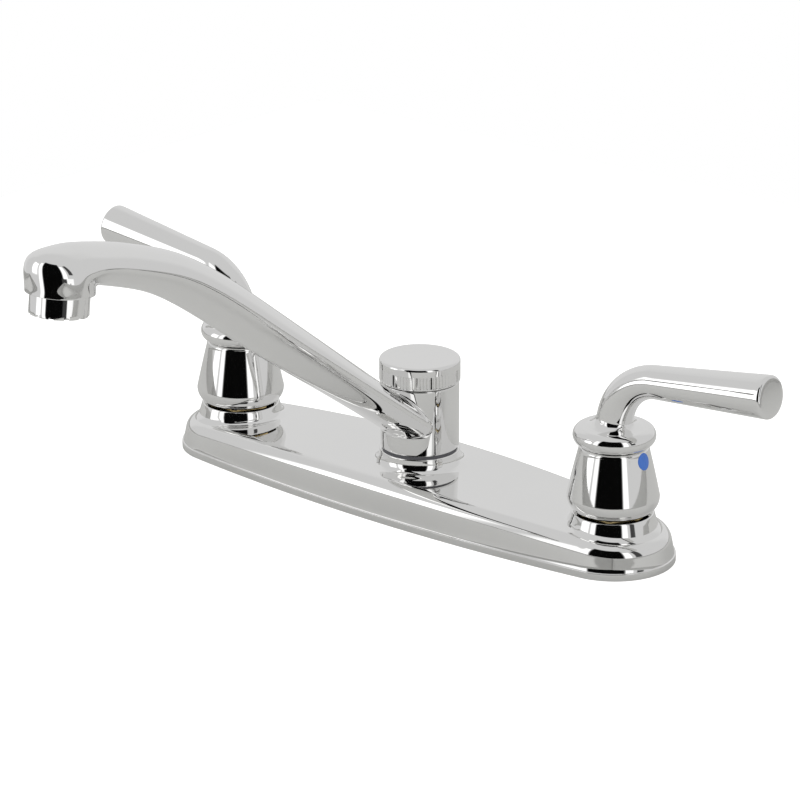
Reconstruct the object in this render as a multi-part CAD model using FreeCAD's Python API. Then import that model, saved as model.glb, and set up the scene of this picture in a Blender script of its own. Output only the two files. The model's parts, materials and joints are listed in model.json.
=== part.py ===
"""Two handle kitchen faucet for a deck with two holes 8 inches apart.

Millimetres. The origin is on the deck, under the axis that the spout turns on.
+X is the cold side, -Y is the front where the spout reaches over the bowl, +Z is up.
Everything above z = 0 stands on the deck; the shanks, washers and nuts pass below it.
"""
import FreeCAD, Part
import math
import os

V = FreeCAD.Vector
UP = V(0, 0, 1)

# ---- Driving sizes ------------------------------------------------------------
SUPPLY_CENTRES = 203.2      # 8 inches between the two supply shanks
RUNNING = 0.08              # radial clearance where one piece turns in another
SEATED = 0.05               # radial clearance of a screwed, brazed or pushed-in piece
REST_GAP = 0.1              # space left between a turning face and the face it rides on

# deck cover: a thin cast shell, lens-shaped in plan, with a slightly crowned top
COVER_END_R = 26.0          # round ends, about the handle axes
COVER_MID_HALF = 32.6       # half the width at the middle
COVER_LIP_H = 3.0           # upright lip round the foot
COVER_LIP_STEP = 0.7        # how far the wall is set in above the lip
COVER_LEAN_END = 2.7        # how much the wall leans in at the ends
COVER_LEAN_MID = 0.8        # and at the middle of its long sides
DECK_H = 17.6               # top of the cover at the middle
DECK_DROP = 3.0             # how much lower the top is at the handle axes
LEAN_ABOVE = 1.0            # height above the top where the wall's lean is measured
CAVITY_FOOT = -1.0          # where the hollow's leaning wall starts, below the deck
CROWN_OVERLAP = 10.0        # how far the crown's shape runs past the cover's sides
COVER_ROUND = 6.0           # round along the top edge
COVER_WALL = 2.0
BOSS_R = 16.8               # top of the boss under each handle
BOSS_TOP = 20.8
BOSS_TAPER_DEG = 16.0
HUB_BOSS_R = 17.0           # top of the boss under the spout
HUB_BOSS_TOP = 23.6
HUB_BOSS_TAPER_DEG = 3.0
BOSS_FLARE = 3.2            # hollow round where a handle's boss meets the top
HUB_BOSS_FLARE = 5.0        # and where the hub's does
FLARE_SHARE = 0.9           # most of a boss's height that its hollow round takes
BOSS_PLATE = 2.5            # thickness of a boss's top
HOLE_PLAY = 0.5             # play round the necks in the cover's holes

# base plate that closes the cover from below
BASE_PLATE_T = 2.4
BASE_PLATE_GAP = 0.3        # play inside the cover's wall

# valve bodies
SHANK_R = 10.475            # 1/2-14 pipe thread
SHANK_END = -48.0
SHANK_RELIEF_Z = -33.0      # groove between the mounting thread and the supply thread
SHANK_RELIEF_W = 1.5
SHANK_RELIEF_DEPTH = 0.9
SHANK_CHAMFER = 1.0
INLET_R = 6.5
VALVE_R = 14.5
NECK_R = 11.2
NECK_TOP = 31.0
CARTRIDGE_R = 9.4
SEAT_FLOOR_Z = 1.0
SEAT_WASHER_T = 1.9
SEAT_WASHER_HOLE_R = 4.6

# ceramic cartridge
HOUSING_WALL = 1.8
HOUSING_FLANGE_R = 11.0
HOUSING_FLANGE_T = 1.6
HOUSING_NOSE_R = 6.9
HOUSING_NOSE_H = 5.4
HOUSING_ROOF_Z = 27.5       # top of the water chamber inside the housing
DISC_T = 1.6
DISC_PLAY = 0.1
DISC_PORT_R = 1.9
DISC_PORT_OFFSET = 3.9
FORK_T = 1.6
WINDOW_R = 2.3
STEM_R = 4.5
SPLINE_R = 4.0
SPLINE_TEETH = 16
SPLINE_DEPTH = 0.4
STEM_TOP = 50.0
ORING_GROOVE_PLAY = 0.04
STEM_ORING_D = 1.5
HOUSING_ORING_D = 1.5
CLIP_T = 0.8
CLIP_WALL = 1.9
CLIP_GROOVE = 0.7
CLIP_MOUTH = 4.6

# hexagon nuts inside the handles
NUT_FLATS = 25.4
NUT_CORNER_R = 14.0
COVER_NUT_T = 3.4
BONNET_SKIRT = 5.6          # thread depth of the bonnet nut below the cartridge flange
BONNET_ROOF = 2.2

# water way
TUBE_WALL = 0.9
TUBE_TOP_PLAY = 0.3         # between a tube and the cover above it
TUBE_FOOT_PLAY = 0.9        # between a tube and the base plate below it
SOCKET_DEPTH = 2.5

# spout post
POST_FOOT_R = 14.0
POST_R = 12.0
POST_LAND_TOP = 50.5
POST_BORE_R = 6.5
POST_FLOOR = 2.6
POST_BORE_TOP = 46.0
POST_WINDOW_R = 3.0
POST_THREAD_R = 9.0
POST_TOP = 61.0
POST_ORING_D = 2.6
POST_ORING_LOW_Z = 28.8
POST_ORING_HIGH_Z = 48.0

# spout
SLIP_RING_T = 1.0
SLEEVE_R = 16.6
SLEEVE_TOP = 53.6
SLEEVE_ROUND = 0.8
CHAMBER_R = 14.0
CHAMBER_LOW_Z = 33.0
CHAMBER_TOP_Z = 45.0
SPOUT_WALL = 1.8
ARM_ROOT_Z = 42.5           # height of the arm's centre at the sleeve
ARM_ROOT_HALF_W = 13.6
ARM_ROOT_HALF_H = 7.5
ARM_MID_HALF_W = 12.2
ARM_MID_HALF_H = 9.6
ARM_END_HALF_W = 12.7
ARM_END_HALF_H = 7.9
ARM_END_RISE_DEG = 15.0
ARM_LEVEL_RUN = 60.0        # last stretch of the arm, where it levels off
ARM_LEVEL_RISE = 26.0       # height that it gains there
SPOUT_REACH = 209.0         # spout axis to the middle of the nozzle's mouth
NOZZLE_R = 13.3
NOZZLE_MOUTH_Z = 145.1
NOZZLE_TILT_DEG = 7.0       # the stream leaves a little forwards
NOZZLE_CORNER_R = 0.6       # inside corner between arm and nozzle
NOZZLE_LENGTH = 0.8         # plain wall below the bend

# cap nut
CAP_R = 17.05
CAP_BOTTOM = 54.1
CAP_TOP = 63.7
CAP_ROUND = 1.4
CAP_ROOF = 2.2
KNURL_LOW = 0.5             # plain edge below the knurl
KNURL_H = 5.4
KNURL_DEPTH = 0.45
KNURL_COUNT = 72
CAP_WASHER_R = 15.0
CAP_WASHER_T = 1.2

# aerator
AERATOR_R = 11.4
AERATOR_DROP = 8.2          # how far it stands out of the nozzle
AERATOR_THREAD_R = 10.6
AERATOR_THREAD_H = 6.0
AERATOR_WALL = 1.3
AERATOR_LIP = 1.2
AERATOR_NOTCHES = 12
AERATOR_NOTCH_R = 1.1
INSERT_T = 5.0
INSERT_HOLE_R = 0.9
INSERT_RING_R = 5.6
INSERT_HOLES = 12
SCREEN_T = 0.6
SCREEN_HOLE_R = 0.7
SCREEN_PITCH = 2.3
AERATOR_WASHER_T = 1.5

# handle
SKIRT_BOTTOM = 21.9
SKIRT_BOTTOM_R = 16.3
SKIRT_BULGE_R = 18.95
SKIRT_BULGE_Z = 27.6
SKIRT_NECK_R = 14.4
SKIRT_NECK_Z = 47.6
SKIRT_TOP = 49.2
SKIRT_WALL = 1.5
SKIRT_COLLAR_Z = 38.0       # below this the skirt is hollow, above it grips the lever's hub
HUB_R = 10.0
BEAD_R = 16.9               # collar bead under the lever
BEAD_Z = 53.4
BEAD_HALF_H = 3.9
LEVER_STEM_R = 7.2          # radius of the bar as it leaves the bead and through its bend
LEVER_FLARE_R = 7.0         # hollow round between bead and bar, where it runs into the bar
LEVER_FLARE_Z = 60.6
LEVER_BEND_Z = 57.6         # start of the bend, just over the bead
LEVER_BEND_R = 22.7
LEVER_RISE_DEG = 6.6
LEVER_TIP_R = 8.8
LEVER_REACH = 75.0
LEVER_TIP_ROUND = 1.0
SOCKET_TOP = 51.0
SCREW_Z = 45.2
SCREW_R = 2.4
SCREW_OUT = 10.6            # outer end of the set screw, from the handle's axis
SCREW_HEX = 2.5
SCREW_HEX_DEPTH = 2.6
PLUG_R = 3.4
PLUG_SEAT = 11.4            # bottom of the plug's pocket, from the handle's axis
PLUG_PROUD = 0.2            # how far the plug stands out of the skirt

# mounting hardware under the deck
DECK_THICKNESS = 18.0       # counter top that the nuts are shown clamping
MOUNT_WASHER_R = 19.0
MOUNT_WASHER_T = 1.6
MOUNT_NUT_FLANGE_R = 17.0
MOUNT_NUT_FLANGE_T = 2.4
MOUNT_NUT_R = 13.6
MOUNT_NUT_H = 8.0
WING_REACH = 23.0
WING_T = 4.0
WING_COUNT = 4

# ---- Heights and places that follow from them ----------------------------------
HANDLE_X = SUPPLY_CENTRES / 2
END_DECK_H = DECK_H - DECK_DROP
TUBE_R = (END_DECK_H - COVER_WALL - BASE_PLATE_T - TUBE_TOP_PLAY - TUBE_FOOT_PLAY) / 2
TUBE_Z = BASE_PLATE_T + TUBE_FOOT_PLAY + TUBE_R
CARTRIDGE_BOTTOM = SEAT_FLOOR_Z + SEAT_WASHER_T
FIXED_DISC_TOP = CARTRIDGE_BOTTOM + DISC_T
MOVING_DISC_TOP = FIXED_DISC_TOP + DISC_T
HOUSING_BORE_R = CARTRIDGE_R - HOUSING_WALL
DISC_R = HOUSING_BORE_R - DISC_PLAY
FLANGE_TOP = NECK_TOP + HOUSING_FLANGE_T
NOSE_TOP = FLANGE_TOP + HOUSING_NOSE_H
CLIP_Z = NOSE_TOP + REST_GAP
STEM_SHOULDER_Z = CLIP_Z + 2 * CLIP_T
HUB_BOTTOM = STEM_SHOULDER_Z + REST_GAP
SLEEVE_BOTTOM = HUB_BOSS_TOP + SLIP_RING_T + REST_GAP
CAP_WASHER_Z = SLEEVE_TOP + REST_GAP
SLEEVE_BORE_R = POST_R + RUNNING


# ---- Small tools ---------------------------------------------------------------
def rod(r, z0, z1, x=0.0, y=0.0):
    """Upright cylinder from z0 to z1."""
    return Part.makeCylinder(r, z1 - z0, V(x, y, z0), UP)


def washer(r_out, r_in, z0, z1):
    """Flat ring on the Z axis."""
    return rod(r_out, z0, z1).cut(rod(r_in, z0 - 1, z1 + 1))


def turned(outline):
    """Solid of revolution about Z. Each item is a corner (r, z), or a pair of an arc's
    middle point and end point."""
    edges = []
    start = last = outline[0]
    for item in outline[1:] + [start]:
        if isinstance(item[0], tuple):
            middle, end = item
            points = [V(p[0], 0, p[1]) for p in (last, middle, end)]
            edges.append(Part.Arc(*points).toShape())
            last = end
        elif item != last:
            edges.append(Part.makeLine(V(last[0], 0, last[1]), V(item[0], 0, item[1])))
            last = item
    face = Part.Face(Part.Wire(edges))
    return face.revolve(V(0, 0, 0), UP, 360)


def torus(ring_r, wire_r, z):
    """O-ring or round bead on the Z axis."""
    return Part.makeTorus(ring_r, wire_r, V(0, 0, z), UP)


def hexagon(flats, z0, z1, corner_r):
    """Hexagon bar with its corners turned off at corner_r."""
    across = flats / math.cos(math.pi / 6) / 2
    corners = [V(across * math.cos(math.radians(60 * i)), across * math.sin(math.radians(60 * i)), z0)
               for i in range(7)]
    bar = Part.Face(Part.makePolygon(corners)).extrude(V(0, 0, z1 - z0))
    return bar.common(rod(corner_r, z0, z1))


def turned_about(shape, degrees):
    """Copy turned about the Z axis."""
    copy = shape.copy()
    copy.rotate(V(0, 0, 0), UP, degrees)
    return copy


def around(shape, count):
    """The same shape repeated evenly round the Z axis."""
    return [turned_about(shape, 360.0 * i / count) for i in range(count)]


def section(centre, side, top):
    """Elliptical section for a loft: side and top are its half axes, and its outline starts
    at the end of side, so that sections with like axes loft without a twist."""
    normal = side.cross(top)
    place = FreeCAD.Matrix(side.x, top.x, normal.x, centre.x,
                           side.y, top.y, normal.y, centre.y,
                           side.z, top.z, normal.z, centre.z,
                           0, 0, 0, 1)
    return Part.Wire(Part.makeCircle(1.0).transformGeometry(place).Edges)


def plan(inset_end, inset_mid, z):
    """Lens-shaped outline of the cover at height z: two end arcs about the handle axes,
    and two long side arcs that touch them."""
    end_r = COVER_END_R - inset_end
    half = COVER_MID_HALF - inset_mid
    bulge = half - end_r
    centre_y = (HANDLE_X ** 2 - bulge ** 2) / (2 * bulge)
    side_r = half + centre_y
    # two circles that touch from inside do so on the line through their centres
    touch_x = HANDLE_X + end_r * HANDLE_X / (side_r - end_r)
    touch_y = centre_y * end_r / (side_r - end_r)
    corners = [V(sx * touch_x, sy * touch_y, z) for sx, sy in ((1, -1), (1, 1), (-1, 1), (-1, -1))]
    reach = HANDLE_X + end_r
    arcs = [Part.Arc(corners[0], V(reach, 0, z), corners[1]),
            Part.Arc(corners[1], V(0, half, z), corners[2]),
            Part.Arc(corners[2], V(-reach, 0, z), corners[3]),
            Part.Arc(corners[3], V(0, -half, z), corners[0])]
    return Part.Wire([arc.toShape() for arc in arcs])


def crown(top):
    """Everything under the crowned top, whose middle is at height top."""
    reach = HANDLE_X + COVER_END_R
    edge_z = top - DECK_DROP * (reach / HANDLE_X) ** 2
    width = 2 * (COVER_MID_HALF + CROWN_OVERLAP)
    low = V(-reach, -width / 2, edge_z - DECK_H), V(reach, -width / 2, edge_z - DECK_H)
    high = V(-reach, -width / 2, edge_z), V(reach, -width / 2, edge_z)
    arc = Part.Arc(high[0], V(0, -width / 2, top), high[1])
    sides = [Part.makeLine(high[1], low[1]), Part.makeLine(low[1], low[0]), Part.makeLine(low[0], high[0])]
    return Part.Face(Part.Wire([arc.toShape()] + sides)).extrude(V(0, width, 0))


def block(inset, z0, top, edge_round):
    """Solid with the cover's leaning wall, crowned top and rounded top edge, set in by
    inset all round."""
    foot = COVER_LIP_STEP + inset
    wall = Part.makeLoft([plan(foot, foot, z0),
                          plan(foot + COVER_LEAN_END, foot + COVER_LEAN_MID, DECK_H + LEAN_ABOVE)],
                         True, True)
    body = wall.common(crown(top))
    rim = [e for e in body.Edges
           if e.BoundBox.ZMin > z0 + 0.4 * (top - z0) and e.BoundBox.ZLength < 0.6 * (top - z0)]
    return body.makeFillet(edge_round, rim)


# ---- Deck cover and what closes it ----------------------------------------------
def deck_cover():
    """Cast shell: lip, leaning wall, crowned top, three bosses with hollow rounds."""
    lip = Part.Face(plan(0, 0, 0)).extrude(V(0, 0, COVER_LIP_H))
    shell = block(0, COVER_LIP_H - 1, DECK_H, COVER_ROUND).fuse(lip).removeSplitter()
    bosses = [(-HANDLE_X, BOSS_R, BOSS_TOP, BOSS_TAPER_DEG, BOSS_FLARE),
              (0, HUB_BOSS_R, HUB_BOSS_TOP, HUB_BOSS_TAPER_DEG, HUB_BOSS_FLARE),
              (HANDLE_X, BOSS_R, BOSS_TOP, BOSS_TAPER_DEG, BOSS_FLARE)]
    for x, r, top, taper, flare in bosses:
        spread = math.tan(math.radians(taper))
        low_r = r + (top - COVER_LIP_H) * spread
        cone = turned([(0, COVER_LIP_H), (low_r, COVER_LIP_H), (r, top), (0, top)])
        cone.translate(V(x, 0, 0))
        shell = shell.fuse(cone).removeSplitter()
        foot = [e for e in shell.Edges if is_foot_of_boss(e, x, r, top, spread)]
        boss_h = top - (DECK_H - DECK_DROP * (x / HANDLE_X) ** 2)
        shell = shell.makeFillet(min(flare, FLARE_SHARE * boss_h), foot)
    cavity = block(COVER_WALL, CAVITY_FOOT, DECK_H - COVER_WALL, COVER_ROUND - COVER_WALL)
    shell = shell.cut(cavity)
    holes = {-HANDLE_X: (NECK_R, VALVE_R), 0: (POST_R, POST_FOOT_R), HANDLE_X: (NECK_R, VALVE_R)}
    for x, _, top, _, _ in bosses:
        neck_r, body_r = holes[x]
        shell = shell.cut(rod(neck_r + HOLE_PLAY, 0, top + 1, x))
        shell = shell.cut(rod(body_r + HOLE_PLAY, 0, top - BOSS_PLATE, x))
    return shell


def is_foot_of_boss(edge, x, r, top, spread):
    """True for an edge where the boss at x, of radius r at its top, meets the cover."""
    points = edge.discretize(5)
    on_wall = all(abs(math.hypot(p.x - x, p.y) - r - (top - p.z) * spread) < 0.02 for p in points)
    return on_wall and all(COVER_LIP_H + 1 < p.z < top - 0.5 for p in points)


def base_plate():
    """Plastic plate inside the cover's lip. It is the face that lies on the deck."""
    inset = COVER_LIP_STEP + COVER_WALL + BASE_PLATE_GAP
    # share of the wall's lean that is over by the top of the plate
    lean = (BASE_PLATE_T - CAVITY_FOOT) / (DECK_H + LEAN_ABOVE - CAVITY_FOOT)
    outline = plan(inset + lean * COVER_LEAN_END, inset + lean * COVER_LEAN_MID, 0)
    plate = Part.Face(outline).extrude(V(0, 0, BASE_PLATE_T))
    for x in (-HANDLE_X, HANDLE_X):
        plate = plate.cut(rod(SHANK_R + HOLE_PLAY, -1, BASE_PLATE_T + 1, x))
    return plate


# ---- Water way: spout post and crossover tubes ----------------------------------
def spout_post():
    """Brass post: a foot with two tube sockets, a bore with side windows, two O-ring
    grooves and a threaded head for the cap nut."""
    foot_top = HUB_BOSS_TOP - BOSS_PLATE
    post = turned([(0, BASE_PLATE_T), (POST_FOOT_R, BASE_PLATE_T), (POST_FOOT_R, foot_top),
                   (POST_R, foot_top), (POST_R, POST_LAND_TOP), (POST_THREAD_R, POST_LAND_TOP),
                   (POST_THREAD_R, POST_TOP), (0, POST_TOP)])
    post = post.cut(rod(POST_BORE_R, BASE_PLATE_T + POST_FLOOR, POST_BORE_TOP))
    for z in (POST_ORING_LOW_Z, POST_ORING_HIGH_Z):
        post = post.cut(groove(POST_R, POST_ORING_D, z))
    window_z = (CHAMBER_LOW_Z + CHAMBER_TOP_Z) / 2
    window = Part.makeCylinder(POST_WINDOW_R, POST_R + 2, V(0, 0, window_z), V(1, 0, 0))
    post = post.cut(around(window, 4))
    for side in (-1, 1):
        socket = Part.makeCylinder(TUBE_R + SEATED, SOCKET_DEPTH + 1,
                                   V(side * (POST_FOOT_R - SOCKET_DEPTH), 0, TUBE_Z), V(side, 0, 0))
        bore = Part.makeCylinder(TUBE_R - TUBE_WALL, POST_FOOT_R, V(0, 0, TUBE_Z), V(side, 0, 0))
        post = post.cut([socket, bore])
    return post


def groove(shaft_r, wire_d, z):
    """Ring to cut from a shaft for an O-ring of wire_d that stands just proud of it."""
    width = wire_d + 2 * ORING_GROOVE_PLAY
    floor = shaft_r - wire_d
    return washer(shaft_r + 1, floor, z - width / 2, z + width / 2)


def o_ring(bore_r, wire_d, z):
    """O-ring that reaches out to the bore it seals against."""
    return torus(bore_r - wire_d / 2 - ORING_GROOVE_PLAY / 2, wire_d / 2, z)


def post_o_rings():
    rings = [o_ring(POST_R, POST_ORING_D - ORING_GROOVE_PLAY, z)
             for z in (POST_ORING_LOW_Z, POST_ORING_HIGH_Z)]
    return Part.makeCompound(rings)


def crossover_tube():
    """Copper tube from the cold valve body to the post, brazed at both ends."""
    x0 = POST_FOOT_R - SOCKET_DEPTH
    x1 = HANDLE_X - VALVE_R + SOCKET_DEPTH
    outer = Part.makeCylinder(TUBE_R, x1 - x0, V(x0, 0, TUBE_Z), V(1, 0, 0))
    return outer.cut(Part.makeCylinder(TUBE_R - TUBE_WALL, x1 - x0, V(x0, 0, TUBE_Z), V(1, 0, 0)))


# ---- Valve, on the Z axis, with its outlet towards -X ----------------------------
def valve_body():
    """Brass body with the threaded shank below and the bonnet thread above."""
    body_top = BOSS_TOP - BOSS_PLATE
    relief_r = SHANK_R - SHANK_RELIEF_DEPTH
    body = turned([(0, SHANK_END), (SHANK_R - SHANK_CHAMFER, SHANK_END),
                   (SHANK_R, SHANK_END + SHANK_CHAMFER), (SHANK_R, SHANK_RELIEF_Z),
                   (relief_r, SHANK_RELIEF_Z), (relief_r, SHANK_RELIEF_Z + SHANK_RELIEF_W),
                   (SHANK_R, SHANK_RELIEF_Z + SHANK_RELIEF_W), (SHANK_R, BASE_PLATE_T),
                   (VALVE_R, BASE_PLATE_T), (VALVE_R, body_top), (NECK_R, body_top),
                   (NECK_R, NECK_TOP), (0, NECK_TOP)])
    body = body.cut(rod(INLET_R, SHANK_END - 1, SEAT_FLOOR_Z + 1))
    body = body.cut(rod(CARTRIDGE_R + SEATED, SEAT_FLOOR_Z, NECK_TOP + 1))
    port = Part.makeCylinder(TUBE_R - TUBE_WALL, VALVE_R, V(0, 0, TUBE_Z), V(-1, 0, 0))
    socket = Part.makeCylinder(TUBE_R + SEATED, SOCKET_DEPTH + 1,
                               V(-VALVE_R + SOCKET_DEPTH, 0, TUBE_Z), V(-1, 0, 0))
    return body.cut([port, socket])


def seat_washer():
    return washer(CARTRIDGE_R - SEATED, SEAT_WASHER_HOLE_R, SEAT_FLOOR_Z, CARTRIDGE_BOTTOM)


def cartridge_housing():
    """Brass sleeve that holds the discs, with side windows, a flange that sits on the
    valve body and a nose that guides the stem."""
    housing = turned([(0, CARTRIDGE_BOTTOM), (CARTRIDGE_R, CARTRIDGE_BOTTOM), (CARTRIDGE_R, NECK_TOP),
                      (HOUSING_FLANGE_R, NECK_TOP), (HOUSING_FLANGE_R, FLANGE_TOP),
                      (HOUSING_NOSE_R, FLANGE_TOP), (HOUSING_NOSE_R, NOSE_TOP), (0, NOSE_TOP)])
    housing = housing.cut(rod(HOUSING_BORE_R, CARTRIDGE_BOTTOM - 1, HOUSING_ROOF_Z))
    housing = housing.cut(rod(STEM_R + RUNNING, HOUSING_ROOF_Z - 1, NOSE_TOP + 1))
    housing = housing.cut(groove(CARTRIDGE_R, HOUSING_ORING_D, housing_ring_z()))
    window = Part.makeCylinder(WINDOW_R, CARTRIDGE_R + 2, V(0, 0, TUBE_Z), V(-1, 0, 0))
    return housing.cut(around(window, 2))


def housing_ring_z():
    """The O-ring is two wires above the valve body's shoulder."""
    return BOSS_TOP + 2 * HOUSING_ORING_D


def cartridge_o_ring():
    return o_ring(CARTRIDGE_R, HOUSING_ORING_D - ORING_GROOVE_PLAY, housing_ring_z())


def ceramic_disc(z0, z1):
    """Ceramic disc with two ports."""
    disc = rod(DISC_R, z0, z1)
    return disc.cut(around(rod(DISC_PORT_R, z0 - 1, z1 + 1, 0, DISC_PORT_OFFSET), 2))


def fixed_disc():
    return ceramic_disc(CARTRIDGE_BOTTOM, FIXED_DISC_TOP)


def moving_disc():
    return ceramic_disc(FIXED_DISC_TOP, MOVING_DISC_TOP)


def stem():
    """Brass stem: a fork plate on the moving disc, a shaft with an O-ring groove and a
    clip groove, and a splined head for the lever."""
    fork_top = MOVING_DISC_TOP + FORK_T
    clip_floor = STEM_R - CLIP_GROOVE
    shaft = turned([(0, MOVING_DISC_TOP), (DISC_R, MOVING_DISC_TOP), (DISC_R, fork_top),
                    (STEM_R, fork_top), (STEM_R, CLIP_Z), (clip_floor, CLIP_Z),
                    (clip_floor, CLIP_Z + CLIP_T), (STEM_R, CLIP_Z + CLIP_T),
                    (STEM_R, STEM_SHOULDER_Z), (SPLINE_R, STEM_SHOULDER_Z),
                    (SPLINE_R, STEM_TOP), (0, STEM_TOP)])
    ports = around(rod(DISC_PORT_R, MOVING_DISC_TOP - 1, fork_top + 1, 0, DISC_PORT_OFFSET + 1), 2)
    keep = rod(STEM_R, fork_top, STEM_TOP)
    shaft = shaft.cut([port.cut(keep) for port in ports])
    shaft = shaft.cut(groove(STEM_R, STEM_ORING_D, stem_ring_z()))
    tooth = rod(SPLINE_DEPTH, STEM_SHOULDER_Z, STEM_TOP + 1, SPLINE_R + SPLINE_DEPTH / 3)
    return shaft.cut(around(tooth, SPLINE_TEETH))


def stem_ring_z():
    """The stem's O-ring is half way up the housing's guide bore."""
    return (HOUSING_ROOF_Z + NOSE_TOP) / 2


def stem_o_ring():
    return o_ring(STEM_R, STEM_ORING_D - ORING_GROOVE_PLAY, stem_ring_z())


def stem_clip():
    """Open spring clip that keeps the stem in the housing."""
    floor = STEM_R - CLIP_GROOVE
    clip = washer(floor + CLIP_WALL, floor + SEATED, CLIP_Z, CLIP_Z + CLIP_T)
    mouth = Part.makeBox(2 * STEM_R, CLIP_MOUTH, 3 * CLIP_T, V(0, -CLIP_MOUTH / 2, CLIP_Z - CLIP_T))
    return clip.cut(mouth)


def bonnet_nut():
    """Hexagon cap nut that holds the cartridge down in the valve body."""
    z0, z1 = NECK_TOP - BONNET_SKIRT, FLANGE_TOP + BONNET_ROOF
    nut = hexagon(NUT_FLATS, z0, z1, NUT_CORNER_R)
    nut = nut.cut(rod(NECK_R + SEATED, z0 - 1, FLANGE_TOP))
    return nut.cut(rod(HOUSING_NOSE_R + RUNNING, z0, z1 + 1))


def cover_nut():
    """Thin hexagon nut that clamps the cover's boss on the valve body's shoulder."""
    nut = hexagon(NUT_FLATS, BOSS_TOP, BOSS_TOP + COVER_NUT_T, NUT_CORNER_R)
    return nut.cut(rod(NECK_R + SEATED, BOSS_TOP - 1, BOSS_TOP + COVER_NUT_T + 1))


# ---- Handle, on the Z axis, pointing to +X ----------------------------------------
def bell_outline():
    """Outside of the bell-shaped skirt from its foot up to its rounded shoulder."""
    shoulder = SKIRT_TOP - SKIRT_NECK_Z
    bend = shoulder * (1 - math.sqrt(0.5))
    foot_mid = (SKIRT_BOTTOM_R + 0.74 * (SKIRT_BULGE_R - SKIRT_BOTTOM_R),
                SKIRT_BOTTOM + 0.44 * (SKIRT_BULGE_Z - SKIRT_BOTTOM))
    waist = (SKIRT_NECK_R + 0.52 * (SKIRT_BULGE_R - SKIRT_NECK_R), (SKIRT_BULGE_Z + SKIRT_NECK_Z) / 2)
    return [(SKIRT_BOTTOM_R, SKIRT_BOTTOM), (foot_mid, (SKIRT_BULGE_R, SKIRT_BULGE_Z)),
            (waist, (SKIRT_NECK_R, SKIRT_NECK_Z)),
            ((SKIRT_NECK_R - bend, SKIRT_TOP - bend), (SKIRT_NECK_R - shoulder, SKIRT_TOP))]


def skirt():
    """Bell-shaped skirt: hollow below, with a collar above that fits the lever's hub."""
    inner_top_r = SKIRT_NECK_R + 0.3 * (SKIRT_BULGE_R - SKIRT_NECK_R) - SKIRT_WALL
    bell = turned([(SKIRT_BOTTOM_R - SKIRT_WALL, SKIRT_BOTTOM)] + bell_outline() + [
        (HUB_R + SEATED, SKIRT_TOP), (HUB_R + SEATED, SKIRT_COLLAR_Z),
        (inner_top_r, SKIRT_COLLAR_Z), (SKIRT_BULGE_R - SKIRT_WALL, SKIRT_BULGE_Z)])
    return bell.cut([screw_hole(HUB_R - 1), plug_pocket()])


def screw_hole(start):
    """Way for the set screw, along +X."""
    return Part.makeCylinder(SCREW_R + SEATED, SKIRT_BULGE_R - start, V(start, 0, SCREW_Z), V(1, 0, 0))


def plug_pocket():
    return Part.makeCylinder(PLUG_R + SEATED, SKIRT_BULGE_R, V(PLUG_SEAT, 0, SCREW_Z), V(1, 0, 0))


def index_plug():
    """Coloured plug over the set screw, whose face follows the bell just proud of it."""
    plug = Part.makeCylinder(PLUG_R, SKIRT_BULGE_R, V(PLUG_SEAT, 0, SCREW_Z), V(1, 0, 0))
    bell = turned([(0, SKIRT_BOTTOM)] + bell_outline() + [(0, SKIRT_TOP)])
    bell.translate(V(PLUG_PROUD, 0, 0))
    return plug.common(bell)


def set_screw():
    """Socket set screw, from the stem out to just short of the plug."""
    screw = Part.makeCylinder(SCREW_R, SCREW_OUT - SPLINE_R, V(SPLINE_R, 0, SCREW_Z), V(1, 0, 0))
    key = hexagon(SCREW_HEX, 0, SCREW_HEX_DEPTH + 1, SCREW_HEX)
    key.rotate(V(0, 0, 0), V(0, 1, 0), 90)
    key.translate(V(SCREW_OUT - SCREW_HEX_DEPTH, 0, SCREW_Z))
    return screw.cut(key)


def lever_arm():
    """Round bar: an upright stem, a bend, and a straight arm that thickens to a flat tip
    with a rounded edge."""
    turn_deg = 90 - LEVER_RISE_DEG
    turn = math.radians(turn_deg)
    stem_bar = rod(LEVER_STEM_R, BEAD_Z, LEVER_BEND_Z)
    disc = Part.Face(Part.Wire(Part.makeCircle(LEVER_STEM_R, V(0, 0, LEVER_BEND_Z), UP)))
    bend = disc.revolve(V(LEVER_BEND_R, 0, LEVER_BEND_Z), V(0, 1, 0), turn_deg)
    x0 = LEVER_BEND_R * (1 - math.cos(turn))
    length = (LEVER_REACH - x0) / math.sin(turn)
    corner = LEVER_TIP_ROUND * (1 - math.sqrt(0.5))
    arm = turned([(0, 0), (LEVER_STEM_R, 0), (LEVER_TIP_R, length - LEVER_TIP_ROUND),
                  ((LEVER_TIP_R - corner, length - corner), (LEVER_TIP_R - LEVER_TIP_ROUND, length)),
                  (0, length)])
    arm.rotate(V(0, 0, 0), V(0, 1, 0), turn_deg)
    arm.translate(V(x0, 0, LEVER_BEND_Z + LEVER_BEND_R * math.sin(turn)))
    return stem_bar.fuse([bend, arm])


def lever():
    """Cast lever: the bar, a round collar bead, and a hub below with a socket for the
    stem and a screw hole."""
    ring_r = BEAD_R - BEAD_HALF_H
    top, low = BEAD_Z + BEAD_HALF_H, BEAD_Z - BEAD_HALF_H
    flare_mid = (LEVER_FLARE_R + 0.25 * (ring_r - LEVER_FLARE_R), top + 0.22 * (LEVER_FLARE_Z - top))
    bead = turned([
        (0, HUB_BOTTOM), (HUB_R, HUB_BOTTOM), (HUB_R, low), (ring_r, low),
        ((BEAD_R, BEAD_Z), (ring_r, top)), (flare_mid, (LEVER_FLARE_R, LEVER_FLARE_Z)),
        (0, LEVER_FLARE_Z)])
    body = bead.fuse(lever_arm()).removeSplitter()
    socket = rod(SPLINE_R + SEATED, HUB_BOTTOM - 1, SOCKET_TOP)
    return body.cut([socket, screw_hole(0)])


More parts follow.
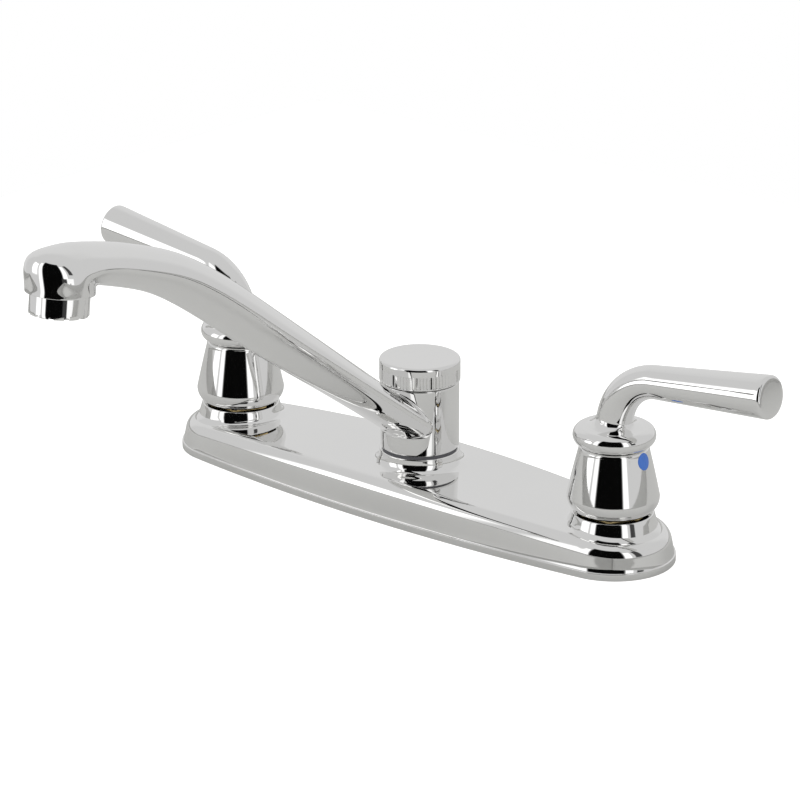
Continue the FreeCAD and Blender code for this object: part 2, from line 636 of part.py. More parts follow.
# ---- Spout, in the plane X = 0, reaching to -Y -------------------------------------
def straight_z(reach):
    """Height of the arm's centre on its straight run."""
    return ARM_ROOT_Z + (reach - SLEEVE_R) * arm_slope()


def arm_slope():
    """Slope of the straight run, from the sleeve to where the arm starts to level off."""
    end_reach, end_z = arm_end()
    return (end_z - ARM_LEVEL_RISE - ARM_ROOT_Z) / (end_reach - ARM_LEVEL_RUN - SLEEVE_R)


def arm_end():
    """Centre (reach, z) of the arm's last section, over the nozzle's inside corner."""
    lean = math.radians(ARM_END_RISE_DEG)
    out = NOZZLE_CORNER_R + ARM_END_HALF_H
    return fan_centre()[0] - out * math.sin(lean), fan_centre()[1] + out * math.cos(lean)


def arm_stations():
    """Sections of the arm's outside: centre (reach, z), how far the section's top leans
    forwards from upright in degrees, half width and half height."""
    stations = []
    start = SLEEVE_R / 2
    rise_deg = math.degrees(math.atan(arm_slope()))
    end_reach, end_z = arm_end()
    level_reach = end_reach - ARM_LEVEL_RUN
    mean_w = (ARM_ROOT_HALF_W + ARM_MID_HALF_W) / 2
    mean_h = (ARM_ROOT_HALF_H + ARM_MID_HALF_H) / 2
    for part, half_w, half_h in ((0.0, ARM_ROOT_HALF_W, ARM_ROOT_HALF_H),
                                 (0.12, ARM_ROOT_HALF_W, ARM_ROOT_HALF_H),
                                 (0.45, mean_w, mean_h),
                                 (0.75, ARM_MID_HALF_W, ARM_MID_HALF_H),
                                 (1.0, ARM_MID_HALF_W, ARM_MID_HALF_H)):
        reach = start + (level_reach - start) * part
        stations.append((reach, straight_z(reach), -rise_deg, half_w, half_h))
    # the arm eases from its straight slope to a gentler one at the nozzle's inside corner
    slope1 = math.tan(math.radians(ARM_END_RISE_DEG))
    for part in (0.36, 0.7, 1.0):
        low, rise, high, fall = hermite(part)
        z = (low * straight_z(level_reach) + rise * ARM_LEVEL_RUN * arm_slope()
             + high * end_z + fall * ARM_LEVEL_RUN * slope1)
        turn = -rise_deg + (rise_deg - ARM_END_RISE_DEG) * part
        stations.append((level_reach + ARM_LEVEL_RUN * part, z, turn,
                         ARM_MID_HALF_W + (ARM_END_HALF_W - ARM_MID_HALF_W) * part,
                         ARM_MID_HALF_H + (ARM_END_HALF_H - ARM_MID_HALF_H) * part))
    # round the corner the sections fan out about a point just outside it
    last_turn = 90 - NOZZLE_TILT_DEG
    for part, fill in ((0.35, 0.69), (0.55, 0.87), (0.75, 1.12), (1.0, 1.0)):
        turn = -ARM_END_RISE_DEG + (last_turn + ARM_END_RISE_DEG) * part
        out = NOZZLE_CORNER_R + NOZZLE_R * fill
        stations.append((fan_centre()[0] + out * math.sin(math.radians(turn)),
                         fan_centre()[1] + out * math.cos(math.radians(turn)), turn,
                         ARM_END_HALF_W + (NOZZLE_R - ARM_END_HALF_W) * part, NOZZLE_R * fill))
    outlet = nozzle_mouth()
    return stations + [(outlet[0], outlet[1], last_turn, NOZZLE_R, NOZZLE_R)]


def hermite(part):
    """Weights of the two end heights and the two end slopes, a part of the way along."""
    return (2 * part ** 3 - 3 * part ** 2 + 1, part ** 3 - 2 * part ** 2 + part,
            3 * part ** 2 - 2 * part ** 3, part ** 3 - part ** 2)


def fan_centre():
    """Point (reach, z) that the bend's sections fan about, under the arm's inside corner."""
    tilt = math.radians(NOZZLE_TILT_DEG)
    back = NOZZLE_R + NOZZLE_CORNER_R
    return (SPOUT_REACH - back * math.cos(tilt) - NOZZLE_LENGTH * math.sin(tilt),
            NOZZLE_MOUTH_Z - back * math.sin(tilt) + NOZZLE_LENGTH * math.cos(tilt))


def nozzle_mouth():
    """Centre (reach, z) of the nozzle's open end."""
    return SPOUT_REACH, NOZZLE_MOUTH_Z


def arm_loft(wall):
    """Loft through the arm's sections, set in by wall."""
    sections = []
    for reach, z, turn, half_w, half_h in arm_stations():
        angle = math.radians(turn)
        top = V(0, -math.sin(angle), math.cos(angle))
        sections.append(section(V(0, -reach, z), V(half_w - wall, 0, 0), top * (half_h - wall)))
    return Part.makeLoft(sections, True, False)


def spout():
    """Hollow swivel spout: a sleeve that turns on the post, the tapering arm, and the
    nozzle with the aerator's thread."""
    edge = SLEEVE_ROUND * (1 - math.sqrt(0.5))
    sleeve = turned([(0, SLEEVE_BOTTOM), (SLEEVE_R - SLEEVE_ROUND, SLEEVE_BOTTOM),
                     ((SLEEVE_R - edge, SLEEVE_BOTTOM + edge), (SLEEVE_R, SLEEVE_BOTTOM + SLEEVE_ROUND)),
                     (SLEEVE_R, SLEEVE_TOP), (0, SLEEVE_TOP)])
    body = sleeve.fuse(arm_loft(0)).removeSplitter()
    keep_out = rod(CHAMBER_R - 1, SLEEVE_BOTTOM, SLEEVE_TOP)
    body = body.cut(arm_loft(SPOUT_WALL).cut(keep_out))
    body = body.cut([rod(SLEEVE_BORE_R, SLEEVE_BOTTOM - 1, SLEEVE_TOP + 1),
                     rod(CHAMBER_R, CHAMBER_LOW_Z, CHAMBER_TOP_Z)])
    return body.cut(at_nozzle(rod(AERATOR_THREAD_R + SEATED, -1, AERATOR_THREAD_H)))


def at_nozzle(shape):
    """A piece made on the Z axis with the nozzle's mouth at z = 0, put in its place."""
    shape = shape.copy()
    shape.rotate(V(0, 0, 0), V(1, 0, 0), -NOZZLE_TILT_DEG)
    reach, z = nozzle_mouth()
    shape.translate(V(0, -reach, z))
    return shape


def slip_ring():
    """Plastic ring between the cover's boss and the spout's sleeve."""
    return washer(SLEEVE_R - SLEEVE_ROUND, SLEEVE_BORE_R, HUB_BOSS_TOP, HUB_BOSS_TOP + SLIP_RING_T)


def cap_washer():
    """Plastic ring in the cap nut, over the spout's sleeve."""
    return washer(CAP_WASHER_R - SEATED, POST_THREAD_R + HOLE_PLAY,
                  CAP_WASHER_Z, CAP_WASHER_Z + CAP_WASHER_T)


def cap_nut():
    """Domeless cap nut with a knurled band, screwed on the post's head."""
    edge = CAP_ROUND * (1 - math.sqrt(0.5))
    washer_top = CAP_WASHER_Z + CAP_WASHER_T
    nut = turned([(0, CAP_BOTTOM), (CAP_R, CAP_BOTTOM), (CAP_R, CAP_TOP - CAP_ROUND),
                  ((CAP_R - edge, CAP_TOP - edge), (CAP_R - CAP_ROUND, CAP_TOP)), (0, CAP_TOP)])
    nut = nut.cut([rod(CAP_WASHER_R, CAP_BOTTOM - 1, washer_top),
                   rod(POST_THREAD_R + SEATED, CAP_BOTTOM - 1, CAP_TOP - CAP_ROOF)])
    half = math.pi * CAP_R / KNURL_COUNT * 0.8
    low = CAP_BOTTOM + KNURL_LOW
    tooth_gap = Part.makePolygon([V(CAP_R - KNURL_DEPTH, 0, low), V(CAP_R + KNURL_DEPTH, -2 * half, low),
                                  V(CAP_R + KNURL_DEPTH, 2 * half, low), V(CAP_R - KNURL_DEPTH, 0, low)])
    flute = Part.Face(tooth_gap).extrude(V(0, 0, KNURL_H))
    return nut.cut(around(flute, KNURL_COUNT))


# ---- Aerator, on the Z axis with the nozzle's mouth at z = 0 ---------------------------
def aerator_housing():
    """Threaded ring below the nozzle, with grip notches round its foot and a lip inside
    that carries the insert."""
    top = AERATOR_THREAD_H - AERATOR_WASHER_T
    ring = turned([(0, -AERATOR_DROP), (AERATOR_R, -AERATOR_DROP), (AERATOR_R, 0),
                   (AERATOR_THREAD_R, 0), (AERATOR_THREAD_R, top), (0, top)])
    bore = AERATOR_THREAD_R - AERATOR_WALL
    ring = ring.cut([rod(bore, AERATOR_LIP - AERATOR_DROP, top + 1),
                     rod(bore - AERATOR_LIP, -AERATOR_DROP - 1, top)])
    notch = Part.makeCylinder(AERATOR_NOTCH_R, AERATOR_R, V(bore + 0.5, 0, -AERATOR_DROP), V(1, 0, 0))
    return ring.cut(around(notch, AERATOR_NOTCHES))


def aerator_insert():
    """Plastic flow disc with a ring of holes."""
    z0 = AERATOR_LIP + SCREEN_T - AERATOR_DROP
    disc = rod(AERATOR_THREAD_R - AERATOR_WALL - SEATED, z0, z0 + INSERT_T)
    hole = rod(INSERT_HOLE_R, z0 - 1, z0 + INSERT_T + 1, INSERT_RING_R)
    return disc.cut(around(hole, INSERT_HOLES))


def aerator_screen():
    """Perforated disc that breaks up the stream."""
    z0 = AERATOR_LIP - AERATOR_DROP
    r = AERATOR_THREAD_R - AERATOR_WALL - SEATED
    rows = int((r - AERATOR_LIP) / SCREEN_PITCH)
    holes = [rod(SCREEN_HOLE_R, z0 - 1, z0 + 1 + SCREEN_T, i * SCREEN_PITCH, j * SCREEN_PITCH)
             for i in range(-rows, rows + 1) for j in range(-rows, rows + 1)
             if math.hypot(i, j) * SCREEN_PITCH < r - AERATOR_LIP - SCREEN_HOLE_R]
    return rod(r, z0, z0 + SCREEN_T).cut(holes)


def aerator_washer():
    return washer(AERATOR_THREAD_R, AERATOR_THREAD_R - 2 * AERATOR_WALL,
                  AERATOR_THREAD_H - AERATOR_WASHER_T, AERATOR_THREAD_H)


# ---- Hardware under the deck, on the Z axis -------------------------------------------
def mounting_washer():
    return washer(MOUNT_WASHER_R, SHANK_R + HOLE_PLAY, -DECK_THICKNESS - MOUNT_WASHER_T, -DECK_THICKNESS)


def mounting_nut():
    """Plastic wing nut: a flange, a round body and four wings."""
    top = -DECK_THICKNESS - MOUNT_WASHER_T
    shoulder = top - MOUNT_NUT_FLANGE_T
    nut = rod(MOUNT_NUT_FLANGE_R, shoulder, top).fuse(rod(MOUNT_NUT_R, shoulder - MOUNT_NUT_H, top))
    wing = Part.makeBox(WING_REACH, WING_T, MOUNT_NUT_H, V(0, -WING_T / 2, shoulder - MOUNT_NUT_H))
    nut = nut.fuse(around(wing, WING_COUNT)).removeSplitter()
    return nut.cut(rod(SHANK_R + SEATED, top - 2 * MOUNT_NUT_H, top + 1))


# ---- Put every piece in its place and write it -----------------------------------------
def placed(shape, x=0.0, turn=0.0):
    """A piece made on the Z axis, turned about it and moved along X."""
    shape = turned_about(shape, turn)
    shape.translate(V(x, 0, 0))
    return shape


parts = {
    "deck_cover": deck_cover(),
    "base_plate": base_plate(),
    "spout_post": spout_post(),
    "post_o_rings": post_o_rings(),
    "slip_ring": slip_ring(),
    "spout": spout(),
    "cap_washer": cap_washer(),
    "cap_nut": cap_nut(),
}
for name, shape in (("housing", aerator_housing()), ("insert", aerator_insert()),
                    ("screen", aerator_screen()), ("washer", aerator_washer())):
    parts["aerator_" + name] = at_nozzle(shape)

# each side's pieces are made once and turned round for the hot side
side_pieces = {
    "valve_body": valve_body(), "seat_washer": seat_washer(), "fixed_disc": fixed_disc(),
    "moving_disc": moving_disc(), "cartridge_housing": cartridge_housing(),
    "cartridge_o_ring": cartridge_o_ring(), "stem": stem(), "stem_o_ring": stem_o_ring(),
    "stem_clip": stem_clip(), "bonnet_nut": bonnet_nut(), "cover_nut": cover_nut(),
    "skirt": skirt(), "lever": lever(), "set_screw": set_screw(), "index_plug": index_plug(),
    "mounting_washer": mounting_washer(), "mounting_nut": mounting_nut(),
}
for side, x, turn in (("cold", HANDLE_X, 0.0), ("hot", -HANDLE_X, 180.0)):
    parts[side + "_crossover_tube"] = placed(crossover_tube(), turn=turn)
    for name, shape in side_pieces.items():
        parts[side + "_" + name] = placed(shape, x=x, turn=turn)

os.makedirs("parts", exist_ok=True)
for name, shape in parts.items():
    shape.exportStep(os.path.join("parts", name + ".step"))
    print(f"{name}: {len(shape.Solids)} solid, {shape.Volume:.1f} mm3")
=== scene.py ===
"""Two handle kitchen faucet with a swivel spout, dressed and lit as for a catalogue picture.

Blender works in metres, and the sizes here are in millimetres times MM. The frame is the
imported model's: the origin is on the deck under the spout's axis, +X is the cold side, -Y is
the front and +Z is up.
"""
import json
import math

import bmesh
import bpy
from mathutils import Matrix, Vector


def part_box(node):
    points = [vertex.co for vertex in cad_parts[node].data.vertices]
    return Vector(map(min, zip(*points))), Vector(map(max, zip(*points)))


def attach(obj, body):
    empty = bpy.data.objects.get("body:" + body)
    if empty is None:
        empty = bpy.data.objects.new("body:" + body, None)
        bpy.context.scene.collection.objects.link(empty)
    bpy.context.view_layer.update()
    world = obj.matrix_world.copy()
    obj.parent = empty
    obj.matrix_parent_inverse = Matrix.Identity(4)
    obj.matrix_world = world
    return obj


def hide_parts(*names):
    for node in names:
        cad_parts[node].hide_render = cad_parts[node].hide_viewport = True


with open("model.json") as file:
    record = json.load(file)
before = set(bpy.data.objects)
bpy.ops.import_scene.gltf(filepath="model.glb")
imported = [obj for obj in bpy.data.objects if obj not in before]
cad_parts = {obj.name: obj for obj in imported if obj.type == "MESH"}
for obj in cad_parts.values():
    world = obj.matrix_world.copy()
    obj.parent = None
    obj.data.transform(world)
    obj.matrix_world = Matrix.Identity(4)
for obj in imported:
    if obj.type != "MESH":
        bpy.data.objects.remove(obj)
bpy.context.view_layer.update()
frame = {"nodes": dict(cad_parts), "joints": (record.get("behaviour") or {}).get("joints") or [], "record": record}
MM = 0.001
SIDES = {"cold": 1, "hot": -1}
nodes = frame["nodes"]
colours = {row["slot"]: row["base_color"] for row in frame["record"]["materials"]}


# ---- Brass valve bodies, shanks and inner valve parts ------------------------------------
# Machined brass: the bodies that the supply lines screw on to, the cartridges and stems in
# them, and their nuts. Turned on a lathe, so fine rings run round every upright face.
class Link:
    """A shader socket that takes part in sums as a number would."""

    def __init__(self, finish, socket):
        self.finish = finish
        self.socket = socket

    def _sum(self, operation, first, second):
        return self.finish.node("ShaderNodeMath", {"operation": operation}, {0: first, 1: second})

    def __add__(self, other):
        return self._sum("ADD", self, other)

    def __radd__(self, other):
        return self._sum("ADD", other, self)

    def __sub__(self, other):
        return self._sum("SUBTRACT", self, other)

    def __rsub__(self, other):
        return self._sum("SUBTRACT", other, self)

    def __mul__(self, other):
        return self._sum("MULTIPLY", self, other)

    def __rmul__(self, other):
        return self._sum("MULTIPLY", other, self)


class Finish:
    """The node tree of a material or of the world."""

    def __init__(self, owner):
        owner.use_nodes = True
        self.owner = owner
        self.tree = owner.node_tree

    def node(self, kind, settings=None, values=None, output=0):
        """Adds a node: its settings first, then the values or links of its sockets."""
        made = self.tree.nodes.new(kind)
        for name, value in (settings or {}).items():
            setattr(made, name, value)
        for name, value in (values or {}).items():
            self.feed(made, name, value)
        return Link(self, made.outputs[output])

    def feed(self, made, name, value):
        """Links a socket, or sets its value."""
        if isinstance(value, Link):
            self.tree.links.new(value.socket, made.inputs[name])
        else:
            made.inputs[name].default_value = value


CLOUD_SCALE = 30.0          # patches of slightly darker and lighter metal, about 30 mm across


def finish_of(name, colour, roughness, metallic=0.0, grain=0.06, grain_scale=400.0, tint=0.05,
              bump=0.02, stretch=(1.0, 1.0, 1.0)):
    """A material whose colour and roughness vary a little with a noise, which also lifts it."""
    finish = Finish(bpy.data.materials.new(name))
    shader = finish.tree.nodes["Principled BSDF"]
    place = finish.node("ShaderNodeTexCoord", output=3)
    spread = finish.node("ShaderNodeMapping", None, {"Vector": place, "Scale": stretch})
    noise = finish.node("ShaderNodeTexNoise", None, {"Vector": spread, "Scale": grain_scale, "Detail": 4.0})
    cloud = finish.node("ShaderNodeTexNoise", None, {"Vector": place, "Scale": CLOUD_SCALE, "Detail": 2.0})
    dark = tuple(channel * (1 - tint) for channel in colour[:3]) + (1.0,)
    light = tuple(min(1.0, channel * (1 + tint)) for channel in colour[:3]) + (1.0,)
    shade = finish.node("ShaderNodeMix", {"data_type": "RGBA"}, {0: cloud, 6: dark, 7: light}, output=2)
    finish.feed(shader, "Base Color", shade)
    finish.feed(shader, "Roughness", roughness + (noise - 0.5) * grain)
    finish.feed(shader, "Metallic", metallic)
    lift = finish.node("ShaderNodeBump", None, {"Height": noise, "Strength": 1.0, "Distance": bump * MM})
    finish.feed(shader, "Normal", lift)
    return finish.owner


def dress(material, *names):
    """Gives carried-over nodes their material."""
    for name in names:
        nodes[name].data.materials.clear()
        nodes[name].data.materials.append(material)


def both(*names):
    """The cold and the hot node of each name."""
    return [side + "_" + name for side in SIDES for name in names]


LATHE_RINGS = (0.15, 0.15, 12.0)
brass = finish_of("machined_brass", colours["brass"], 0.24, 1.0, grain=0.12, grain_scale=260.0,
                  bump=0.012, stretch=LATHE_RINGS)
dress(brass, "spout_post", *both("valve_body", "cartridge_housing", "stem", "bonnet_nut", "cover_nut",
                                 "mounting_nut"))

# ---- Steel washers, clips and screws -----------------------------------------------------
# Stamped and turned steel: the clamping washers under the deck are zinc plated, the clips
# on the stems, the set screws and the aerator's screen are stainless.
zinc = finish_of("zinc_plated_steel", colours["zinc_steel"], 0.36, 1.0, grain=0.15, grain_scale=150.0,
                 tint=0.10)
dress(zinc, *both("mounting_washer"))
stainless = finish_of("stainless_steel", colours["stainless"], 0.28, 1.0, grain=0.10)
dress(stainless, "aerator_screen", *both("stem_clip", "set_screw"))

# ---- Crossover tubes ---------------------------------------------------------------------
# Drawn copper tube, brazed between each valve body and the spout's post under the cover.
# The metal is bright along its length with darker patches from the brazing heat.
copper = finish_of("drawn_copper", colours["copper"], 0.22, 1.0, grain=0.08, grain_scale=180.0,
                   tint=0.16, stretch=(0.1, 1.0, 1.0))
dress(copper, *both("crossover_tube"))

# ---- Seals, discs and plastic pieces ------------------------------------------------------
# Moulded rubber O-rings and washers, lapped ceramic discs, and moulded plastic: the dark
# plate that lies on the deck, the ring under the spout, whose dark colour is painted shade
# for the shaded gap between the spout's sleeve and the boss, and the white ring and flow disc.
rubber = finish_of("black_rubber", colours["black_rubber"], 0.62, grain=0.2, grain_scale=700.0, bump=0.03)
dress(rubber, "post_o_rings", "aerator_washer", *both("seat_washer", "cartridge_o_ring", "stem_o_ring"))
ceramic = finish_of("lapped_ceramic", colours["ceramic"], 0.16, grain=0.05, tint=0.03)
dress(ceramic, *both("fixed_disc", "moving_disc"))
white_plastic = finish_of("white_plastic", colours["white_plastic"], 0.42, grain=0.1, bump=0.02)
dress(white_plastic, "cap_washer", "aerator_insert")
dark_plastic = finish_of("dark_plastic", colours["dark_plastic"], 0.55, grain=0.16, bump=0.05)
# the ring under the spout is dressed dark as painted shade: its colour stands in for the shaded gap between the
# spout's sleeve and the boss
dress(dark_plastic, "base_plate", "slip_ring")

# ---- Deck cover ----------------------------------------------------------------------------
# A thin zinc casting, polished and chromed: lens-shaped in plan, with a low lip round its
# foot, a rounded rim, a slightly crowned top, and a boss with a hollow round under each
# handle and under the spout.
cover_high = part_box("deck_cover")[1]
HANDLE_X = next(joint for joint in frame["joints"] if joint["name"] == "cold_turn")["pos_m"][0] / MM
END_R = cover_high.x / MM - HANDLE_X
MID_HALF = cover_high.y / MM
LIP_H = 3.0
LIP_STEP = 0.7
LEAN_END = 2.7
LEAN_MID = 0.8
WALL_BASE = 2.0
DECK_H = 17.6
DECK_DROP = 3.0
RIM_R = 6.0
COVER_WALL = 2.0
BOSS_EDGE = 0.5
# a boss's radius and height at its top, its taper, its hole and the hollow round at its foot
HANDLE_BOSS = (16.8, 20.8, math.radians(16.0), 11.7, 3.2)
HUB_BOSS = (17.0, 23.6, math.radians(3.0), 12.5, 5.0)
RIM_LEAD = 1.2              # how far a boss's columns run on over the rim's round
RIM_STEPS = 16
HOLLOW_STEPS = 12
TOP_STEPS = 14
LINE_COLUMNS = 28           # columns that reach the line between two fields of the cover
HUB_COLUMNS = 56            # and those that reach the rim, on each side of the hub's field
END_COLUMNS = 140           # and round an end's field
SIDE_BULGE = MID_HALF - END_R
SIDE_CENTRE = (HANDLE_X ** 2 - SIDE_BULGE ** 2) / (2 * SIDE_BULGE)
SIDE_R = MID_HALF + SIDE_CENTRE

chrome = finish_of("polished_chrome", (0.85, 0.848, 0.842), 0.035, 1.0, grain=0.02, grain_scale=90.0,
                   tint=0.015, bump=0.0004)


def begin(name, count):
    """A circle of vertices in edit mode, each numbered, ready to be extruded."""
    bpy.ops.object.select_all(action="DESELECT")
    bpy.ops.mesh.primitive_circle_add(vertices=count, radius=MM)
    piece = bpy.context.object
    piece.name = name
    bpy.ops.object.mode_set(mode="EDIT")
    form = bmesh.from_edit_mesh(piece.data)
    order = form.verts.layers.int.new("order")
    for index, vertex in enumerate(form.verts):
        vertex[order] = index
    bmesh.update_edit_mesh(piece.data)
    return piece


def lay(piece, points):
    """Moves the selected ring on to its points, which are in millimetres."""
    form = bmesh.from_edit_mesh(piece.data)
    order = form.verts.layers.int["order"]
    for vertex in form.verts:
        if vertex.select:
            vertex.co = points[vertex[order]] * MM
    bmesh.update_edit_mesh(piece.data)


def drawn(name, rings):
    """A ring of vertices that is extruded from one section to the next."""
    piece = begin(name, len(rings[0]))
    lay(piece, rings[0])
    for points in rings[1:]:
        bpy.ops.mesh.extrude_region_move()
        lay(piece, points)
    bpy.ops.object.mode_set(mode="OBJECT")
    return piece


def close_up(piece, smooth_deg=32.0):
    """Merges doubles, turns the faces outwards and shades the piece smooth up to an angle."""
    bpy.ops.object.select_all(action="DESELECT")
    piece.select_set(True)
    bpy.context.view_layer.objects.active = piece
    bpy.ops.object.mode_set(mode="EDIT")
    bpy.ops.mesh.select_all(action="SELECT")
    bpy.ops.mesh.remove_doubles(threshold=0.002 * MM)
    bpy.ops.mesh.dissolve_degenerate(threshold=0.0005 * MM)
    bpy.ops.mesh.select_all(action="SELECT")
    bpy.ops.mesh.normals_make_consistent(inside=False)
    bpy.ops.object.mode_set(mode="OBJECT")
    bpy.ops.object.shade_smooth_by_angle(angle=math.radians(smooth_deg))
    return piece


def apply_modifier(piece, kind, **settings):
    """Adds a modifier with its settings and applies it."""
    bpy.ops.object.select_all(action="DESELECT")
    piece.select_set(True)
    bpy.context.view_layer.objects.active = piece
    modifier = piece.modifiers.new(kind.lower(), kind)
    for name, value in settings.items():
        setattr(modifier, name, value)
    bpy.ops.object.modifier_apply(modifier=modifier.name)


def place_on_body(piece, body, *stands_for):
    """Chromes a finished piece, makes it ride on its body and stand for its nodes."""
    piece.data.materials.clear()
    piece.data.materials.append(chrome)
    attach(piece, body)
    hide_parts(*stands_for)


def outline_distance(x, y):
    """How far (x, y) is outside the cover's outline, and the outline's normal there."""
    along, across = abs(x), abs(y)
    if (along - HANDLE_X) * SIDE_CENTRE > across * HANDLE_X:
        centre, radius = Vector((HANDLE_X, 0.0)), END_R
    else:
        centre, radius = Vector((0.0, -SIDE_CENTRE)), SIDE_R
    arm = Vector((along, across)) - centre
    normal = arm.normalized()
    return arm.length - radius, Vector((math.copysign(normal.x, x), math.copysign(normal.y, y)))


def deck_z(x):
    return DECK_H - DECK_DROP * (x / HANDLE_X) ** 2


def lean(x):
    """Slope of the cover's wall, more at the ends than along the sides."""
    share = min(1.0, abs(x) / HANDLE_X) ** 2
    return (LEAN_MID + (LEAN_END - LEAN_MID) * share) / (DECK_H + 1 - WALL_BASE)


def rim_inset(x):
    """How far in from the outline the rim's round begins."""
    slope = lean(x)
    return LIP_STEP + slope * (deck_z(x) - RIM_R - WALL_BASE) + RIM_R * math.hypot(1, slope)


def rim_point(x, y, arc):
    """The point on the rim's round that is arc millimetres past its start, for the place
    (x, y) where the round starts."""
    normal = outline_distance(x, y)[1]
    turn = arc / RIM_R
    flat = Vector((x, y)) + normal * (RIM_R * math.sin(turn))
    return Vector((flat.x, flat.y, deck_z(x) - RIM_R * (1 - math.cos(turn))))


def bisect(low, high, is_low, steps=40):
    """The place between low and high where is_low stops being true."""
    for step in range(steps):
        middle = (low + high) / 2
        if is_low(middle):
            low = middle
        else:
            high = middle
    return low


def boss_column(centre_x, angle, boss_r, boss_top, taper, hole_r, flare_r, line_x):
    """Points from a boss's hole out to where the rim starts, or to the line where two
    fields of the cover meet, and whether the column goes on over the rim."""
    ray = Vector((math.cos(angle), math.sin(angle)))
    spread = math.tan(taper)

    def on_ray(distance):
        return centre_x + ray.x * distance, ray.y * distance

    reach = bisect(0.0, 200.0, lambda d: outline_distance(*on_ray(d))[0] < -rim_inset(on_ray(d)[0]))
    over_rim = True
    if line_x is not None and ray.x * (line_x - centre_x) > 0:
        to_line = (line_x - centre_x) / ray.x
        if to_line < reach + 0.01:
            reach, over_rim = to_line, to_line > reach - 0.01
    rim_x, rim_y = on_ray(reach)
    # the hollow round touches the boss's wall and the top, or the rim's round
    ball = Vector((math.cos(taper), math.sin(taper))) * flare_r

    def ball_centre(z):
        return Vector((boss_r + (boss_top - z) * spread, z)) + ball

    def is_clear(z):
        spot = ball_centre(z)
        if spot.x <= reach:
            return spot.y - deck_z(on_ray(spot.x)[0]) > flare_r
        middle = Vector((reach, deck_z(rim_x) - RIM_R))
        return (spot - middle).length - RIM_R > flare_r

    wall_z = bisect(boss_top, 0.0, is_clear)
    spot = ball_centre(wall_z)
    wall_foot = spot - ball
    if spot.x <= reach:
        past = spot.x - reach
        foot = Vector((*on_ray(spot.x), deck_z(on_ray(spot.x)[0])))
    else:
        past = RIM_R * math.atan2(spot.x - reach, spot.y - deck_z(rim_x) + RIM_R)
        foot = rim_point(rim_x, rim_y, past)
    tip = Vector((boss_r, boss_top))
    edge_start = Vector((boss_r - BOSS_EDGE, boss_top))
    edge_end = tip + (wall_foot - tip).normalized() * BOSS_EDGE

    def solid(flat):
        return Vector((*on_ray(flat.x), flat.y))

    column = [solid(Vector((hole_r, boss_top))), solid((edge_start + Vector((hole_r, boss_top))) / 2)]
    column += [solid(curve(edge_start, tip, edge_end, step / 5)) for step in range(6)]
    column += [solid(edge_end.lerp(wall_foot, part)) for part in (0.33, 0.66)]
    corner_r = boss_r + (boss_top - foot.z) * spread
    corner = Vector((*on_ray(corner_r), foot.z))
    if past > 0:
        corner = Vector((*on_ray(min(corner_r + 0.4 * past, spot.x)), foot.z + 0.5 * past))
    column += [curve(solid(wall_foot), corner, foot, step / HOLLOW_STEPS)
               for step in range(HOLLOW_STEPS + 1)]
    # from the hollow round's foot to just inside the rim's round
    extra = soft_most(0.0, RIM_LEAD + past) if over_rim else 0.0
    for step in range(1, TOP_STEPS + 1):
        travel = past + (extra - past) * step / TOP_STEPS
        if travel <= 0:
            share = travel / past if past < 0 else 0.0
            flat = Vector((rim_x, rim_y)).lerp(Vector((foot.x, foot.y)), share)
            column.append(Vector((flat.x, flat.y, deck_z(flat.x))))
        else:
            column.append(rim_point(rim_x, rim_y, travel))
    return column, over_rim, (rim_x, rim_y, extra)


def soft_most(floor, value, soft=0.6):
    """The larger of two values, with the corner between them rounded."""
    above = value - floor
    return floor + (above + math.hypot(above, soft)) / 2 if above > -8 * soft else floor


def curve(start, corner, end, part):
    """A point on the smooth curve that leaves start and reaches end towards corner."""
    return start.lerp(corner, part).lerp(corner.lerp(end, part), part)


def rim_column(rim_x, rim_y, extra):
    """Points over the rim, down the wall and round the lip to the foot."""
    gap, normal = outline_distance(rim_x, rim_y)
    slope = lean(rim_x)
    last = RIM_R * (math.pi / 2 - math.atan(slope))
    column = [rim_point(rim_x, rim_y, extra + (last - extra) * step / RIM_STEPS)
              for step in range(1, RIM_STEPS + 1)]
    edge = Vector((rim_x, rim_y)) + normal * -gap

    def inside(inset, z):
        flat = edge - normal * inset
        return Vector((flat.x, flat.y, z))

    end = column[-1]
    end_inset = (edge - Vector((end.x, end.y))).dot(normal)
    for part in (0.33, 0.66, 1.0):
        z = end.z + (LIP_H + 0.25 - end.z) * part
        column.append(inside(end_inset + (LIP_STEP - end_inset) * part, z))
    for inset, z in ((LIP_STEP - 0.08, LIP_H + 0.06), (0.45, LIP_H), (0.25, LIP_H - 0.03),
                     (0.08, LIP_H - 0.14), (0.0, LIP_H - 0.4), (0.0, LIP_H / 2), (0.0, 0.0)):
        column.append(inside(inset, z))
    return column


def field_angles(centre_x, line_count, side_count, corner):
    """Angles of a field's columns. Where two fields meet, both have the same spacing."""
    share = [corner * (2 * step / line_count - 1) for step in range(line_count)]
    if centre_x == 0:
        side = [corner + (math.pi - 2 * corner) * step / side_count for step in range(side_count)]
        right = share + side
        return right + [angle + math.pi for angle in right]
    facing = math.pi if centre_x > 0 else 0.0
    around = 2 * math.pi - 2 * corner
    line = [facing + angle for angle in share]
    return line + [facing + corner + around * step / side_count for step in range(side_count)]


